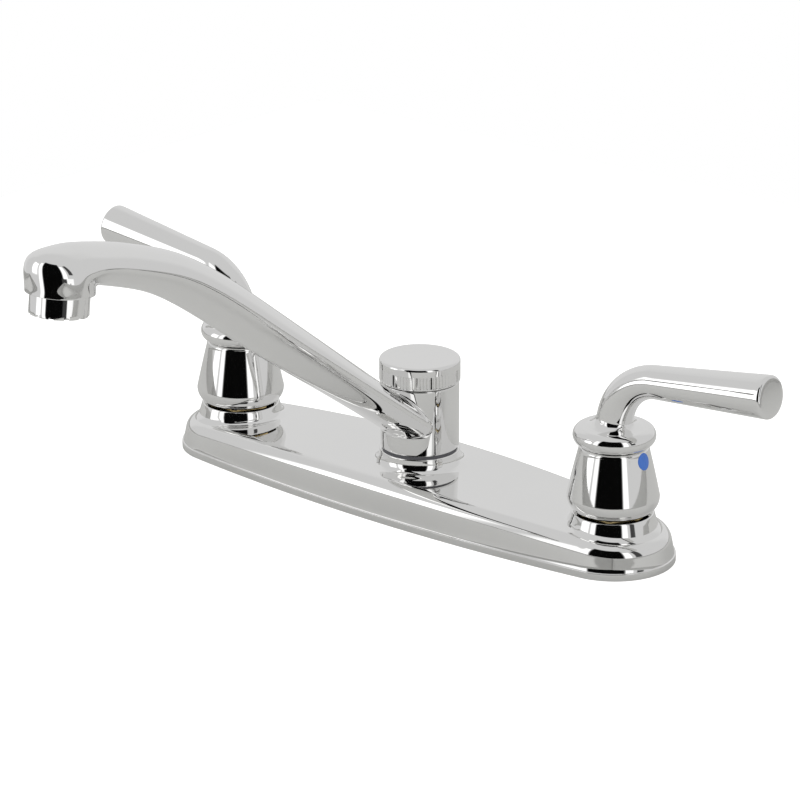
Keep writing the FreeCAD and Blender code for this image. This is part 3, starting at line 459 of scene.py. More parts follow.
def cover_field(name, centre_x, boss, line_x, counts, corner):
    """One field of the cover round one boss: a ring extruded outwards, and over the rim
    where the field reaches the outline."""
    angles = field_angles(centre_x, *counts, corner)
    found = []
    for angle in angles:
        line = line_x if centre_x else math.copysign(abs(line_x), math.cos(angle))
        found.append(boss_column(centre_x, angle, *boss, line))
    piece = drawn(name, [list(ring) for ring in zip(*[column for column, over_rim, rim in found])])
    # extrude the edge again where the column goes on over the rim
    bpy.context.view_layer.objects.active = piece
    bpy.ops.object.mode_set(mode="EDIT")
    rims = {index: rim_column(*rim) for index, (column, over_rim, rim) in enumerate(found) if over_rim}
    form = bmesh.from_edit_mesh(piece.data)
    order = form.verts.layers.int["order"]
    for vertex in form.verts:
        if vertex.select and vertex[order] not in rims:
            vertex.select_set(False)
    form.select_flush(False)
    bmesh.update_edit_mesh(piece.data)
    for step in range(len(next(iter(rims.values())))):
        bpy.ops.mesh.extrude_region_move()
        lay(piece, {index: column[step] for index, column in rims.items()})
    bpy.ops.object.mode_set(mode="OBJECT")
    return piece


FIELD_X = HANDLE_X / 2
corner_y = bisect(0.0, MID_HALF, lambda y: outline_distance(FIELD_X, y)[0] < -rim_inset(FIELD_X))
corner_angle = math.atan2(corner_y, FIELD_X)
fields = [cover_field("cover_field_middle", 0.0, HUB_BOSS, FIELD_X, (LINE_COLUMNS, HUB_COLUMNS),
                      corner_angle)]
for side, sign in SIDES.items():
    fields.append(cover_field("cover_field_" + side, sign * HANDLE_X, HANDLE_BOSS, sign * FIELD_X,
                              (LINE_COLUMNS, END_COLUMNS), corner_angle))
bpy.ops.object.select_all(action="DESELECT")
for field in fields:
    field.select_set(True)
bpy.context.view_layer.objects.active = fields[0]
bpy.ops.object.join()
deck_cover = bpy.context.object
deck_cover.name = "chromed_deck_cover"
close_up(deck_cover)
apply_modifier(deck_cover, "SOLIDIFY", thickness=COVER_WALL * MM, offset=-1.0)
close_up(deck_cover)
place_on_body(deck_cover, "base", "deck_cover")


# ---- Spout -----------------------------------------------------------------------------------
# A drawn brass tube, flattened towards its root and bent down over the nozzle, brazed into a
# turned sleeve that swivels on the post. It is polished as one piece and chromed.
SLEEVE_R = 16.6
SLEEVE_BORE_R = 12.08
SLEEVE_BOTTOM = 24.7
SLEEVE_TOP = 53.6
SLEEVE_ROUND = 0.8
ARM_END_RISE = math.radians(15.0)
ARM_ROOT_Z = 42.5
ARM_ROOT_HALF = (13.6, 7.5)
ARM_MID_HALF = (12.2, 9.6)
ARM_END_HALF = (12.7, 7.9)
ARM_LEVEL_RUN = 60.0
ARM_LEVEL_RISE = 26.0
SPOUT_REACH = 209.0
NOZZLE_R = 13.3
NOZZLE_MOUTH_Z = 145.1
NOZZLE_TILT = math.radians(7.0)
NOZZLE_CORNER_R = 0.6
NOZZLE_LENGTH = 0.8
THREAD_R = 10.65
THREAD_H = 6.0
BRAZE_R = 1.4
ROOT_SHARE = 0.86           # the arm's root ends inside the sleeve's wall, at this share of its radius
MOUTH_GAP = 0.5             # the arm's last ring ends this far above the mouth's round
ARM_COLUMNS = 96
QUARTERS = (0.0, math.pi / 2, math.pi, 1.5 * math.pi)


def circle(radius, z, count, x=0.0):
    """Points of a level ring."""
    turns = [2 * math.pi * index / count for index in range(count)]
    return [Vector((x + radius * math.cos(turn), radius * math.sin(turn), z)) for turn in turns]


def arc(start, middle, end, count):
    """Points past start on the circle through three (radius, z) places."""
    (ax, ay), (bx, by), (cx, cy) = start, middle, end
    twice = 2 * (ax * (by - cy) + bx * (cy - ay) + cx * (ay - by))
    a2, b2, c2 = ax * ax + ay * ay, bx * bx + by * by, cx * cx + cy * cy
    centre = Vector(((a2 * (by - cy) + b2 * (cy - ay) + c2 * (ay - by)) / twice,
                     (a2 * (cx - bx) + b2 * (ax - cx) + c2 * (bx - ax)) / twice))
    first, last = Vector(start) - centre, Vector(end) - centre
    middle_arm = Vector(middle) - centre
    turn = first.angle_signed(middle_arm) + middle_arm.angle_signed(last)
    found = []
    for step in range(1, count + 1):
        angle = -turn * step / count
        found.append((centre.x + first.x * math.cos(angle) - first.y * math.sin(angle),
                      centre.y + first.x * math.sin(angle) + first.y * math.cos(angle)))
    return found


def quarter(start, end, count=6, outward=True):
    """Points past start on a small quarter round between two (radius, z) places."""
    (ax, ay), (bx, by) = start, end
    corner = (max(ax, bx) if outward else min(ax, bx), by if (bx < ax) == outward else ay)
    centre = Vector((ax + bx - corner[0], ay + by - corner[1]))
    first, last = Vector(start) - centre, Vector(end) - centre
    return [tuple(centre + first * math.cos(math.pi / 2 * step / count)
                  + last * math.sin(math.pi / 2 * step / count)) for step in range(1, count + 1)]


def turned(name, outline, count=128, x=0.0, smooth_deg=32.0):
    """A piece turned from an outline of (radius, z) places, with poles on its axis."""
    piece = drawn(name, [circle(radius, z, count, x) for radius, z in outline])
    return close_up(piece, smooth_deg)


def smooth_curve(knots, values):
    """The natural cubic curve through values at the given knots, as a function."""
    size = len(knots)
    step = [knots[i + 1] - knots[i] for i in range(size - 1)]
    bend, lower, upper = [0.0] * size, [0.0] * size, [0.0] * size
    for i in range(1, size - 1):
        rate = 6 * ((values[i + 1] - values[i]) / step[i] - (values[i] - values[i - 1]) / step[i - 1])
        pivot = 2 * (step[i - 1] + step[i]) - step[i - 1] * upper[i - 1]
        upper[i] = step[i] / pivot
        lower[i] = (rate - step[i - 1] * lower[i - 1]) / pivot
    for i in range(size - 2, 0, -1):
        bend[i] = lower[i] - upper[i] * bend[i + 1]

    def value_at(place):
        i = 0
        while i < size - 2 and place > knots[i + 1]:
            i += 1
        a, b = (knots[i + 1] - place) / step[i], (place - knots[i]) / step[i]
        return (a * values[i] + b * values[i + 1]
                + ((a ** 3 - a) * bend[i] + (b ** 3 - b) * bend[i + 1]) * step[i] ** 2 / 6)
    return value_at


def between(pair, other, part):
    return [first + (second - first) * part for first, second in zip(pair, other)]


back = NOZZLE_R + NOZZLE_CORNER_R
fan_reach = SPOUT_REACH - back * math.cos(NOZZLE_TILT) - NOZZLE_LENGTH * math.sin(NOZZLE_TILT)
fan_z = NOZZLE_MOUTH_Z - back * math.sin(NOZZLE_TILT) + NOZZLE_LENGTH * math.cos(NOZZLE_TILT)
end_out = NOZZLE_CORNER_R + ARM_END_HALF[1]
end_reach = fan_reach - end_out * math.sin(ARM_END_RISE)
end_z = fan_z + end_out * math.cos(ARM_END_RISE)
level_reach = end_reach - ARM_LEVEL_RUN
arm_slope = (end_z - ARM_LEVEL_RISE - ARM_ROOT_Z) / (level_reach - SLEEVE_R)
arm_rise = math.atan(arm_slope)
level_z = end_z - ARM_LEVEL_RISE

# sections of the arm: reach, height, how far its top leans forwards, half width, half height
stations = []
for part, share in ((0.0, 0.0), (0.12, 0.0), (0.45, 0.5), (0.75, 1.0), (1.0, 1.0)):
    reach = SLEEVE_R / 2 + (level_reach - SLEEVE_R / 2) * part
    z = level_z - (level_reach - reach) * arm_slope
    stations.append([reach, z, -arm_rise, *between(ARM_ROOT_HALF, ARM_MID_HALF, share)])
for part in (0.36, 0.7, 1.0):
    low, high = 2 * part ** 3 - 3 * part ** 2 + 1, 3 * part ** 2 - 2 * part ** 3
    rise, fall = part ** 3 - 2 * part ** 2 + part, part ** 3 - part ** 2
    z = low * level_z + high * end_z
    z += ARM_LEVEL_RUN * (rise * arm_slope + fall * math.tan(ARM_END_RISE))
    top = -arm_rise + (arm_rise - ARM_END_RISE) * part
    stations.append([level_reach + ARM_LEVEL_RUN * part, z, top, *between(ARM_MID_HALF, ARM_END_HALF, part)])
arm_end = len(stations) - 1
last_turn = math.pi / 2 - NOZZLE_TILT
for part, fill in ((0.35, 0.69), (0.55, 0.87), (0.75, 1.12), (1.0, 1.0)):
    lean_now = -ARM_END_RISE + (last_turn + ARM_END_RISE) * part
    out = NOZZLE_CORNER_R + NOZZLE_R * fill
    stations.append([fan_reach + out * math.sin(lean_now), fan_z + out * math.cos(lean_now), lean_now,
                     ARM_END_HALF[0] + (NOZZLE_R - ARM_END_HALF[0]) * part, NOZZLE_R * fill])
stations.append([SPOUT_REACH, NOZZLE_MOUTH_Z, last_turn, NOZZLE_R, NOZZLE_R])


def section_point(section, turn):
    """The point of one section at a turn round the arm."""
    reach, z, top, wide, high = section
    side, up = wide * math.cos(turn), high * math.sin(turn)
    return Vector((side, -(reach + up * math.sin(top)), z + up * math.cos(top)))


# knots: how far along the arm each of its sections lies
knots = [0.0]
for before, after in zip(stations, stations[1:]):
    steps = [(section_point(after, turn) - section_point(before, turn)).length for turn in QUARTERS]
    knots.append(knots[-1] + sum(steps) / len(steps))
arm_lines = {}


def arm_point(place, turn):
    """The point of the arm's surface at a place along it and a turn round it."""
    if turn not in arm_lines:
        line = [section_point(section, turn) for section in stations]
        arm_lines[turn] = [smooth_curve(knots, values) for values in zip(*line)]
    return Vector([value_at(place) for value_at in arm_lines[turn]])


def sleeve_reach(point):
    return math.hypot(point.x, point.y)


def root_column(turn):
    """A column of the arm's root: from inside the sleeve's wall, out over the braze."""
    corner_place = bisect(0.0, knots[3], lambda place: sleeve_reach(arm_point(place, turn)) < SLEEVE_R)
    start_place = bisect(0.0, knots[3],
                         lambda place: sleeve_reach(arm_point(place, turn)) < SLEEVE_R + 0.8 * BRAZE_R)
    corner, start = arm_point(corner_place, turn), arm_point(start_place, turn)
    wall = Vector((corner.x, corner.y, 0.0)).normalized()
    beside = arm_point(corner_place, turn + 0.01) - arm_point(corner_place, turn - 0.01)
    outward = beside.cross(arm_point(corner_place + 1, turn) - corner)
    away = (outward - wall * outward.dot(wall)).normalized()
    foot = corner + away * BRAZE_R
    scale = (SLEEVE_R - 0.01) / sleeve_reach(foot)
    foot = Vector((foot.x * scale, foot.y * scale, foot.z))
    sunk = Vector((foot.x * 0.985, foot.y * 0.985, foot.z)) + away * 0.2
    inner = Vector((corner.x * ROOT_SHARE, corner.y * ROOT_SHARE, corner.z))
    return [inner, sunk] + [curve(foot, corner, start, step / 8) for step in range(9)], start_place


turns = [2 * math.pi * index / ARM_COLUMNS for index in range(ARM_COLUMNS)]
roots = [root_column(turn) for turn in turns]
arm_rings = [list(ring) for ring in zip(*[column for column, start in roots])]
inside_wall = SLEEVE_R * ROOT_SHARE
for share in (0.75, 0.5, 0.25, 0.0):
    ring = []
    for point in arm_rings[-len(roots[0][0])]:
        side, z = point.x * share, ARM_ROOT_Z + (point.z - ARM_ROOT_Z) * share
        ring.append(Vector((side, -math.sqrt(inside_wall ** 2 - side ** 2), z)))
    arm_rings.insert(0, ring)
free_place = knots[1]
for step in range(1, 9):
    arm_rings.append([arm_point(start + (free_place - start) * step / 8, turn)
                      for (column, start), turn in zip(roots, turns)])
for first, last, count in ((free_place, knots[arm_end], 60), (knots[arm_end], knots[-1] - MOUTH_GAP, 44)):
    for step in range(1, count + 1):
        place = first + (last - first) * step / count
        arm_rings.append([arm_point(place, turn) for turn in turns])


def at_nozzle(points):
    """Points made about the Z axis with the nozzle's mouth at z = 0, put in their place."""
    turn = Matrix.Rotation(-NOZZLE_TILT, 3, "X")
    return [turn @ point + Vector((0, -SPOUT_REACH, NOZZLE_MOUTH_Z)) for point in points]


# the columns run the other way round the nozzle's axis than a level ring does
def mouth_ring(radius, z):
    points = [Vector((radius * math.cos(turn), -radius * math.sin(turn), z)) for turn in turns]
    return at_nozzle(points)


MOUTH = [(NOZZLE_R - 0.03, 0.2), (NOZZLE_R - 0.15, 0.04), (NOZZLE_R - 0.4, 0.0), (THREAD_R + 0.3, 0.0),
         (THREAD_R, 0.3), (THREAD_R, THREAD_H), (THREAD_R / 2, THREAD_H), (0, THREAD_H)]
arm_rings += [mouth_ring(radius, z) for radius, z in MOUTH]
arm = close_up(drawn("spout_arm", arm_rings))

sleeve_outline = [(SLEEVE_BORE_R, SLEEVE_BOTTOM), (SLEEVE_R - SLEEVE_ROUND, SLEEVE_BOTTOM)]
sleeve_outline += quarter(sleeve_outline[-1], (SLEEVE_R, SLEEVE_BOTTOM + SLEEVE_ROUND))
sleeve_outline += [(SLEEVE_R, 29.0 + 4.0 * step) for step in range(6)]
sleeve_outline += [(SLEEVE_R, 52.5), (SLEEVE_R, SLEEVE_TOP - 0.4)]
sleeve_outline += quarter(sleeve_outline[-1], (SLEEVE_R - 0.4, SLEEVE_TOP), 3)
sleeve_outline += [(SLEEVE_BORE_R, SLEEVE_TOP), (SLEEVE_BORE_R, SLEEVE_BOTTOM)]
sleeve = turned("spout_sleeve", sleeve_outline, 160)
bpy.ops.object.select_all(action="DESELECT")
sleeve.select_set(True)
arm.select_set(True)
bpy.context.view_layer.objects.active = arm
bpy.ops.object.join()
arm.name = "chromed_spout"
place_on_body(arm, "spout", "spout")

# ---- Cap nut -----------------------------------------------------------------------------------
# A turned brass nut that screws on the post's head and holds the spout down. Its top is flat,
# with a small round, and its lower half is knurled for the fingers. Chromed.
CAP_R = 17.05
CAP_BOTTOM = 54.1
CAP_TOP = 63.7
CAP_ROUND = 1.4
KNURL_LOW = 0.5
KNURL_H = 5.4
KNURL_DEPTH = 0.45
KNURL_TEETH = 72
CAP_WASHER = (15.0, 54.95)
CAP_THREAD = (9.05, 61.5)


def cap_ring(radius, z, depth=0.0):
    """A ring with three places for each tooth: its groove and the two edges of its top."""
    points = []
    pitch = 2 * math.pi / KNURL_TEETH
    for tooth in range(KNURL_TEETH):
        for share, drop in ((0.0, depth), (0.38, 0.0), (0.62, 0.0)):
            turn = (tooth + share) * pitch
            points.append(Vector(((radius - drop) * math.cos(turn), (radius - drop) * math.sin(turn), z)))
    return points


knurl_low, knurl_high = CAP_BOTTOM + KNURL_LOW, CAP_BOTTOM + KNURL_LOW + KNURL_H
cap_rings = [cap_ring(0, CAP_THREAD[1]), cap_ring(*CAP_THREAD), cap_ring(CAP_THREAD[0], CAP_WASHER[1]),
             cap_ring(*CAP_WASHER), cap_ring(CAP_WASHER[0], CAP_BOTTOM), cap_ring(CAP_R - 0.2, CAP_BOTTOM),
             cap_ring(CAP_R, CAP_BOTTOM + 0.15), cap_ring(CAP_R, knurl_low),
             cap_ring(CAP_R, knurl_low + 0.1, KNURL_DEPTH), cap_ring(CAP_R, knurl_high - 0.1, KNURL_DEPTH),
             cap_ring(CAP_R, knurl_high)]
cap_outline = [(CAP_R, knurl_high + 0.3), (CAP_R, CAP_TOP - CAP_ROUND)]
cap_outline += quarter(cap_outline[-1], (CAP_R - CAP_ROUND, CAP_TOP), 8)
cap_outline += [(15.0, CAP_TOP), (10.0, CAP_TOP), (5.0, CAP_TOP), (0.0, CAP_TOP)]
cap_rings += [cap_ring(radius, z) for radius, z in cap_outline]
cap_nut = close_up(drawn("chromed_cap_nut", cap_rings), 24.0)
place_on_body(cap_nut, "base", "cap_nut")

# ---- Aerator ---------------------------------------------------------------------------------
# A short brass ring screwed into the nozzle, chromed, with notches round its foot for the
# grip. It carries the flow disc, the screen and the washer that come with the frame.
AERATOR_R = 11.4
AERATOR_DROP = 8.2
AERATOR_BORE_R = 9.3
AERATOR_LIP_R = 8.1
AERATOR_LIP = 1.2
AERATOR_THREAD = (10.6, 4.5)
NOTCHES = 12
NOTCH_R = 1.1
NOTCH_END_R = 9.8           # how far in the notches run


def aerator_ring(radius, z, notch_foot=None):
    """A ring at the nozzle, whose places gather round the notches. With a foot it rises
    over each notch from there."""
    points = []
    pitch = 2 * math.pi / NOTCHES
    half = NOTCH_R / AERATOR_R
    for notch in range(NOTCHES):
        for share in (-1.0, -0.97, -0.85, -0.6, -0.3, 0.0, 0.3, 0.6, 0.85, 0.97, 1.0):
            turn, rise = notch * pitch + half * share, NOTCH_R * math.sqrt(1 - share * share)
            height = z if notch_foot is None else max(z, notch_foot + rise)
            points.append(Vector((radius * math.cos(turn), radius * math.sin(turn), height)))
        for share in (0.2, 0.4, 0.6, 0.8):
            turn = notch * pitch + half + (pitch - 2 * half) * share
            points.append(Vector((radius * math.cos(turn), radius * math.sin(turn), z)))
    return at_nozzle(points)


foot = -AERATOR_DROP
aerator_rings = [aerator_ring(AERATOR_BORE_R, AERATOR_THREAD[1]),
                 aerator_ring(AERATOR_BORE_R, foot + AERATOR_LIP),
                 aerator_ring(AERATOR_LIP_R, foot + AERATOR_LIP), aerator_ring(AERATOR_LIP_R, foot),
                 aerator_ring(NOTCH_END_R - 0.05, foot), aerator_ring(NOTCH_END_R, foot, foot),
                 aerator_ring(AERATOR_R - 0.25, foot, foot),
                 aerator_ring(AERATOR_R - 0.07, foot + 0.07, foot),
                 aerator_ring(AERATOR_R, foot + 0.25, foot),
                 aerator_ring(AERATOR_R, foot + NOTCH_R + 0.5), aerator_ring(AERATOR_R, -0.1),
                 aerator_ring(AERATOR_THREAD[0], 0.0), aerator_ring(*AERATOR_THREAD),
                 aerator_ring(AERATOR_BORE_R, AERATOR_THREAD[1])]
aerator = close_up(drawn("chromed_aerator", aerator_rings), 30.0)
place_on_body(aerator, "spout", "aerator_housing")

# ---- Handle skirts -----------------------------------------------------------------------------
# A bell-shaped skirt under each lever, spun or cast in zinc and chromed. It hides the bonnet
# nut, turns with the handle and has the coloured plug in its shoulder.
SKIRT_BOTTOM = (16.3, 21.9)
SKIRT_BULGE = (18.95, 27.6)
SKIRT_NECK = (14.4, 47.6)
SKIRT_TOP = 49.2
SKIRT_WALL = 1.5
SKIRT_COLLAR_Z = 38.0
FOOT_SHARE = (0.74, 0.44)   # where the foot's curve passes, between bottom and bulge
WAIST_SHARE = 0.52          # how much of the bulge is left half way up
HOLLOW_SHARE = 0.3
FOOT_STEPS = 14
HUB_R = 10.0
HUB_PLAY = 0.05             # play of the lever's hub in the skirt's collar
PLUG_R = 3.4
PLUG_Z = 45.2
PLUG_BACK = 11.4
PLUG_PROUD = 0.2

shoulder = SKIRT_TOP - SKIRT_NECK[1]
bulge_past_neck = SKIRT_BULGE[0] - SKIRT_NECK[0]
foot_mid = (SKIRT_BOTTOM[0] + FOOT_SHARE[0] * (SKIRT_BULGE[0] - SKIRT_BOTTOM[0]),
            SKIRT_BOTTOM[1] + FOOT_SHARE[1] * (SKIRT_BULGE[1] - SKIRT_BOTTOM[1]))
waist = (SKIRT_NECK[0] + WAIST_SHARE * bulge_past_neck, (SKIRT_BULGE[1] + SKIRT_NECK[1]) / 2)
bell = [SKIRT_BOTTOM] + arc(SKIRT_BOTTOM, foot_mid, SKIRT_BULGE, FOOT_STEPS)
bell += arc(SKIRT_BULGE, waist, SKIRT_NECK, 30)
bell += quarter(SKIRT_NECK, (SKIRT_NECK[0] - shoulder, SKIRT_TOP), 8)
hollow_top_r = SKIRT_NECK[0] + HOLLOW_SHARE * bulge_past_neck - SKIRT_WALL
skirt_outline = bell + [(HUB_R + HUB_PLAY, SKIRT_TOP), (HUB_R + HUB_PLAY, SKIRT_COLLAR_Z),
                        (hollow_top_r, SKIRT_COLLAR_Z),
                        (SKIRT_BULGE[0] - SKIRT_WALL, SKIRT_BULGE[1]),
                        (SKIRT_BOTTOM[0] - SKIRT_WALL, SKIRT_BOTTOM[1]), SKIRT_BOTTOM]
for side, sign in SIDES.items():
    skirt = turned("chromed_skirt_" + side, skirt_outline, 144, sign * HANDLE_X)
    place_on_body(skirt, side + "_handle", side + "_skirt")

# ---- Colour plugs ------------------------------------------------------------------------------
# A small pressed-in plug covers each set screw: blue plastic on the cold side, red on the
# hot side. Its face follows the skirt and stands a little proud of it.
PLUG_COLUMNS = 40


def bell_r(z):
    """Radius of the skirt at height z, above its bulge."""
    for (r0, z0), (r1, z1) in zip(bell[FOOT_STEPS:], bell[FOOT_STEPS + 1:]):
        if z0 <= z <= z1:
            return r0 + (r1 - r0) * (z - z0) / (z1 - z0)
    return SKIRT_NECK[0]


def plug_ring(radius, lift, sign):
    """A ring of the plug's face, lift above the skirt's surface."""
    points = []
    for index in range(PLUG_COLUMNS):
        turn = 2 * math.pi * index / PLUG_COLUMNS
        y, z = radius * math.cos(turn), PLUG_Z + radius * math.sin(turn)
        out = PLUG_BACK if lift is None else math.sqrt(bell_r(z) ** 2 - y * y) + lift
        points.append(Vector((sign * (HANDLE_X + out), y, z)))
    return points


# radius of each ring and how far it is lifted off the skirt; None is the plug's flat back
face = [(0.0, None), (PLUG_R, None), (PLUG_R, PLUG_PROUD - 0.15), (PLUG_R - 0.05, PLUG_PROUD - 0.05),
        (PLUG_R - 0.2, PLUG_PROUD)]
face += [(radius, PLUG_PROUD) for radius in (2.4, 1.6, 0.8, 0.0)]
for side, sign in SIDES.items():
    plug = close_up(drawn("plug_" + side, [plug_ring(radius, lift, sign) for radius, lift in face]))
    mark = side + "_mark"
    paint = finish_of(side + "_plug_plastic", colours[mark], 0.22, grain=0.05, tint=0.04, bump=0.003)
    plug.data.materials.clear()
    plug.data.materials.append(paint)
    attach(plug, side + "_handle")
    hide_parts(side + "_index_plug")

# ---- Levers ------------------------------------------------------------------------------------
# Cast and polished brass, chromed. Each lever is one piece: a hub in the skirt's collar, a
# round bead on the skirt, and a bar that bends over and thickens to its flat tip.
HUB_BOTTOM = 39.8
BEAD_R = 16.9
BEAD_Z = 53.4
BEAD_HALF_H = 3.9
STEM_R = 7.55
BAR_R = 6.85
FLARE_H = 4.2
BEND_Z = 57.6
BEND_R = 22.7
LEVER_RISE = math.radians(6.6)
TIP_R = 8.8
LEVER_REACH = 75.0
TIP_ROUND = 1.3
LEVER_COLUMNS = 96
FLARE_STEPS = 16
BEND_STEPS = 32
BAR_STEPS = 24
TIP_STEPS = 10

ring_r = BEAD_R - BEAD_HALF_H
bead_top, bead_low = BEAD_Z + BEAD_HALF_H, BEAD_Z - BEAD_HALF_H
lever_outline = [(0.0, HUB_BOTTOM), (HUB_R - 0.3, HUB_BOTTOM), (HUB_R, HUB_BOTTOM + 0.3),
                 (HUB_R, bead_low), (ring_r, bead_low)]
lever_outline += arc((ring_r, bead_low), (BEAD_R, BEAD_Z), (ring_r, bead_top), 28)
bend_turn = math.pi / 2 - LEVER_RISE


def bar_radius(turn):
    """The bar thins a little through its bend."""
    share = turn / bend_turn
    return STEM_R + (BAR_R - STEM_R) * (3 * share ** 2 - 2 * share ** 3)


# the hollow round above the bead follows the start of the bend, and the bar goes on round it
bar = []
for step in range(1, FLARE_STEPS + 1):
    round_turn = math.pi / 2 * step / FLARE_STEPS
    above = bead_top + FLARE_H * (1 - math.cos(round_turn)) - BEND_Z
    turn = math.asin(max(0.0, above) / BEND_R)
    radius = ring_r - (ring_r - bar_radius(turn)) * math.sin(round_turn)
    bar.append((BEND_R * (1 - math.cos(turn)), BEND_Z + above, turn, radius))
flare_turn = bar[-1][2]
for step in range(1, BEND_STEPS + 1):
    turn = flare_turn + (bend_turn - flare_turn) * step / BEND_STEPS
    bar.append((BEND_R * (1 - math.cos(turn)), BEND_Z + BEND_R * math.sin(turn), turn, bar_radius(turn)))
bar_start = bar[-1]
bar_length = (LEVER_REACH - bar_start[0]) / math.sin(bend_turn)
cone_length = bar_length - TIP_ROUND
bar_runs = [(cone_length * step / BAR_STEPS, BAR_R + (TIP_R - BAR_R) * step / BAR_STEPS)
            for step in range(1, BAR_STEPS + 1)]
for step in range(1, TIP_STEPS + 1):
    turn = math.pi / 2 * step / TIP_STEPS
    bar_runs.append((bar_length - TIP_ROUND * (1 - math.sin(turn)),
                     TIP_R - TIP_ROUND * (1 - math.cos(turn))))
bar_runs += [(bar_length, radius) for radius in (6.0, 4.0, 2.0, 0.0)]
for length, radius in bar_runs:
    bar.append((bar_start[0] + length * math.sin(bend_turn), bar_start[1] + length * math.cos(bend_turn),
                bend_turn, radius))


def bar_ring(out, z, turn, radius):
    """A ring across the bar, whose axis leans by turn from upright towards +X."""
    points = []
    for index in range(LEVER_COLUMNS):
        angle = 2 * math.pi * index / LEVER_COLUMNS
        up = radius * math.cos(angle)
        across = radius * math.sin(angle)
        points.append(Vector((out + up * math.cos(turn), across, z - up * math.sin(turn))))
    return points


for side, sign in SIDES.items():
    rings = [circle(radius, z, LEVER_COLUMNS) for radius, z in lever_outline]
    rings += [bar_ring(*place) for place in bar]
    shift = Vector((sign * HANDLE_X, 0, 0))
    rings = [[Vector((sign * point.x, point.y, point.z)) + shift for point in ring] for ring in rings]
    lever = close_up(drawn("chromed_lever_" + side, rings))
    place_on_body(lever, side + "_handle", side + "_lever")

# ---- Counter, light and camera -------------------------------------------------------------------
# A plain pale counter, a studio of soft boxes and black cards that the chrome mirrors, and
# the camera at the catalogue picture's angle.
# places and sizes here are in metres
COUNTER_HALF = 0.45
COUNTER_EDGE_H = 0.03
bpy.ops.object.select_all(action="DESELECT")
bpy.ops.mesh.primitive_plane_add(size=2 * COUNTER_HALF, location=(0, 0, 0))
counter = bpy.context.object
counter.name = "counter"
counter_finish = Finish(bpy.data.materials.new("pale_counter"))
counter_shader = counter_finish.tree.nodes["Principled BSDF"]
counter_finish.feed(counter_shader, "Base Color", (0.5, 0.5, 0.49, 1.0))
counter_finish.feed(counter_shader, "Roughness", 0.9)
counter_finish.feed(counter_shader, "Specular IOR Level", 0.0)
counter_finish.feed(counter_shader, "Emission Color", (1.0, 1.0, 1.0, 1.0))
to_camera = counter_finish.node("ShaderNodeLightPath")
counter_finish.feed(counter_shader, "Emission Strength", to_camera * 0.75)
counter.data.materials.append(counter_finish.owner)

# a low white edge round the counter, which the chrome sees and the camera doesn't
bpy.ops.object.select_all(action="DESELECT")
bpy.ops.mesh.primitive_plane_add(size=2 * COUNTER_HALF, location=(0, 0, 0))
counter_edge = bpy.context.object
counter_edge.name = "counter_edge"
bpy.ops.object.mode_set(mode="EDIT")
bpy.ops.mesh.delete(type="ONLY_FACE")
bpy.ops.mesh.select_all(action="SELECT")
bpy.ops.mesh.extrude_edges_indiv()
bpy.ops.transform.translate(value=(0, 0, COUNTER_EDGE_H))
bpy.ops.object.mode_set(mode="OBJECT")
counter_edge.data.materials.append(counter_finish.owner)
counter_edge.visible_camera = False

world = bpy.data.worlds.new("studio")
bpy.context.scene.world = world
studio = Finish(world)
direction = studio.node("ShaderNodeTexCoord")
part_x, part_y, part_z = [studio.node("ShaderNodeSeparateXYZ", None, {"Vector": direction}, output=axis)
                          for axis in range(3)]
TO_DEGREES = 180 / math.pi
compass = studio.node("ShaderNodeMath", {"operation": "ARCTAN2"}, {0: part_y, 1: part_x}) * TO_DEGREES
height = studio.node("ShaderNodeMath", {"operation": "ARCSINE"}, {0: part_z}) * TO_DEGREES


def rise(value, start, end):
    """0 below start, 1 above end and smooth between."""
    return studio.node("ShaderNodeMapRange", {"interpolation_type": "SMOOTHSTEP"},
                       {0: value, 1: start, 2: end, 3: 0.0, 4: 1.0})


def panel(west, east, low, high, soft):
    """Mask of a card or soft box between two compass directions and two heights, in degrees,
    whose edges are soft degrees wide."""
    half = soft / 2
    across = rise(compass, west - half, west + half) - rise(compass, east - half, east + half)
    upright = rise(height, low - half, low + half) - rise(height, high - half, high + half)
    return across * upright


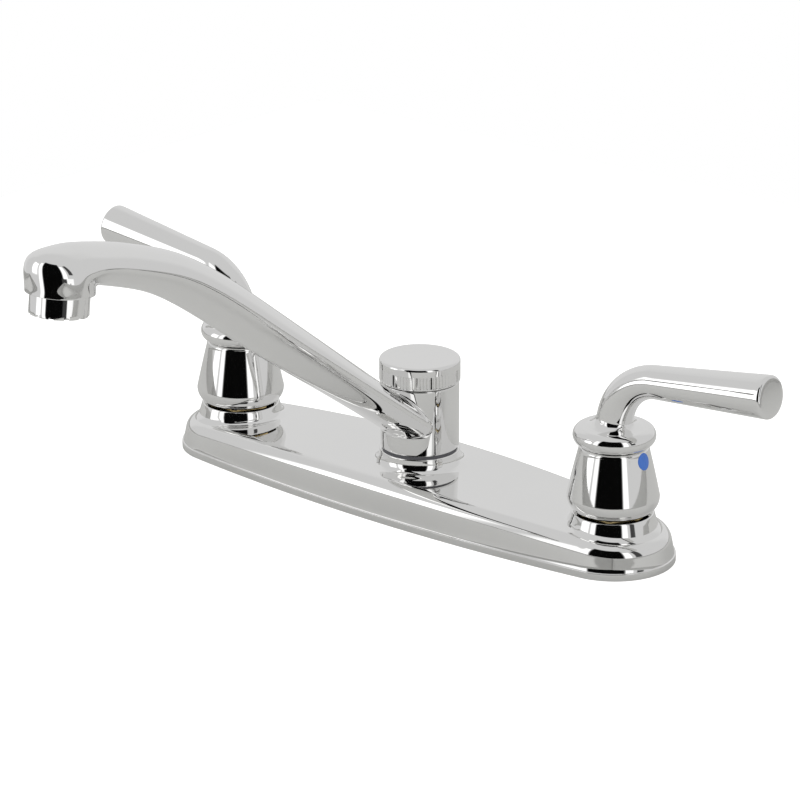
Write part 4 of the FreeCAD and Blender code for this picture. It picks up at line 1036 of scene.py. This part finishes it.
# the studio's walls, a little lighter behind the faucet, then each card or box: its compass
# directions, heights and soft edge, and its strength
WALLS = 0.67
BACK_WALL = 0.07
brightness = WALLS + BACK_WALL * panel(80.0, 178.0, -60.0, 45.0, 20.0)
for west, east, low, high, soft, strength in (
        (-98.0, -29.0, -42.0, 58.0, 6.0, 0.002),
        (-140.0, -118.0, -10.0, 30.0, 6.0, 1.6),
        (-112.0, -99.0, -42.0, 45.0, 3.0, 1.25),
        (-34.0, -18.0, -42.0, -6.0, 4.0, 0.05),
        (-18.0, 4.0, -42.0, -6.0, 3.0, 1.15),
        (-28.0, -14.0, -7.0, 45.0, 3.0, 1.25),
        (-8.5, -6.0, -42.0, -14.0, 1.0, 0.08),
        (-7.0, 6.0, 5.0, 50.0, 3.0, 0.06)):
    mask = panel(west, east, low, high, soft)
    brightness = brightness * (1 - mask) + mask * strength

# the camera sees plain white, the chrome sees the cards, and the rest gets an even light
EVEN_LIGHT = 0.9
is_camera = studio.node("ShaderNodeLightPath", output="Is Camera Ray")
is_glossy = studio.node("ShaderNodeLightPath", output="Is Glossy Ray")
for_glossy = brightness * is_glossy
for_rest = (1 - is_glossy) * EVEN_LIGHT
seen = (for_glossy + for_rest) * (1 - is_camera) + is_camera
background = world.node_tree.nodes["Background"]
studio.feed(background, "Color", (1.0, 1.0, 1.0, 1.0))
studio.feed(background, "Strength", seen)

LAMP_AIM = Vector((0, -0.05, 0.05))
for name, place, size, watts in (("key_softbox", (-1.2, -1.5, 1.6), 0.9, 16.0),
                                 ("fill_softbox", (1.6, -0.6, 1.2), 0.8, 8.0)):
    bpy.ops.object.light_add(type="AREA", location=place)
    lamp = bpy.context.object
    lamp.name = name
    lamp.data.size = size
    lamp.data.energy = watts
    lamp.visible_glossy = False
    lamp.rotation_euler = (LAMP_AIM - Vector(place)).to_track_quat("-Z", "Y").to_euler()

CAMERA_PLACE = (0.9386, -1.1356, 0.5805)
CAMERA_BACK = (0.6027, -0.7209, 0.3420)
CAMERA_LENS = 168.2
bpy.ops.object.camera_add(location=CAMERA_PLACE)
camera = bpy.context.object
camera.name = "catalogue_camera"
camera.data.lens = CAMERA_LENS
camera.data.sensor_width = 36.0
camera.rotation_euler = Vector(CAMERA_BACK).to_track_quat("Z", "Y").to_euler()
bpy.context.scene.camera = camera
bpy.context.scene.view_settings.view_transform = "Standard"
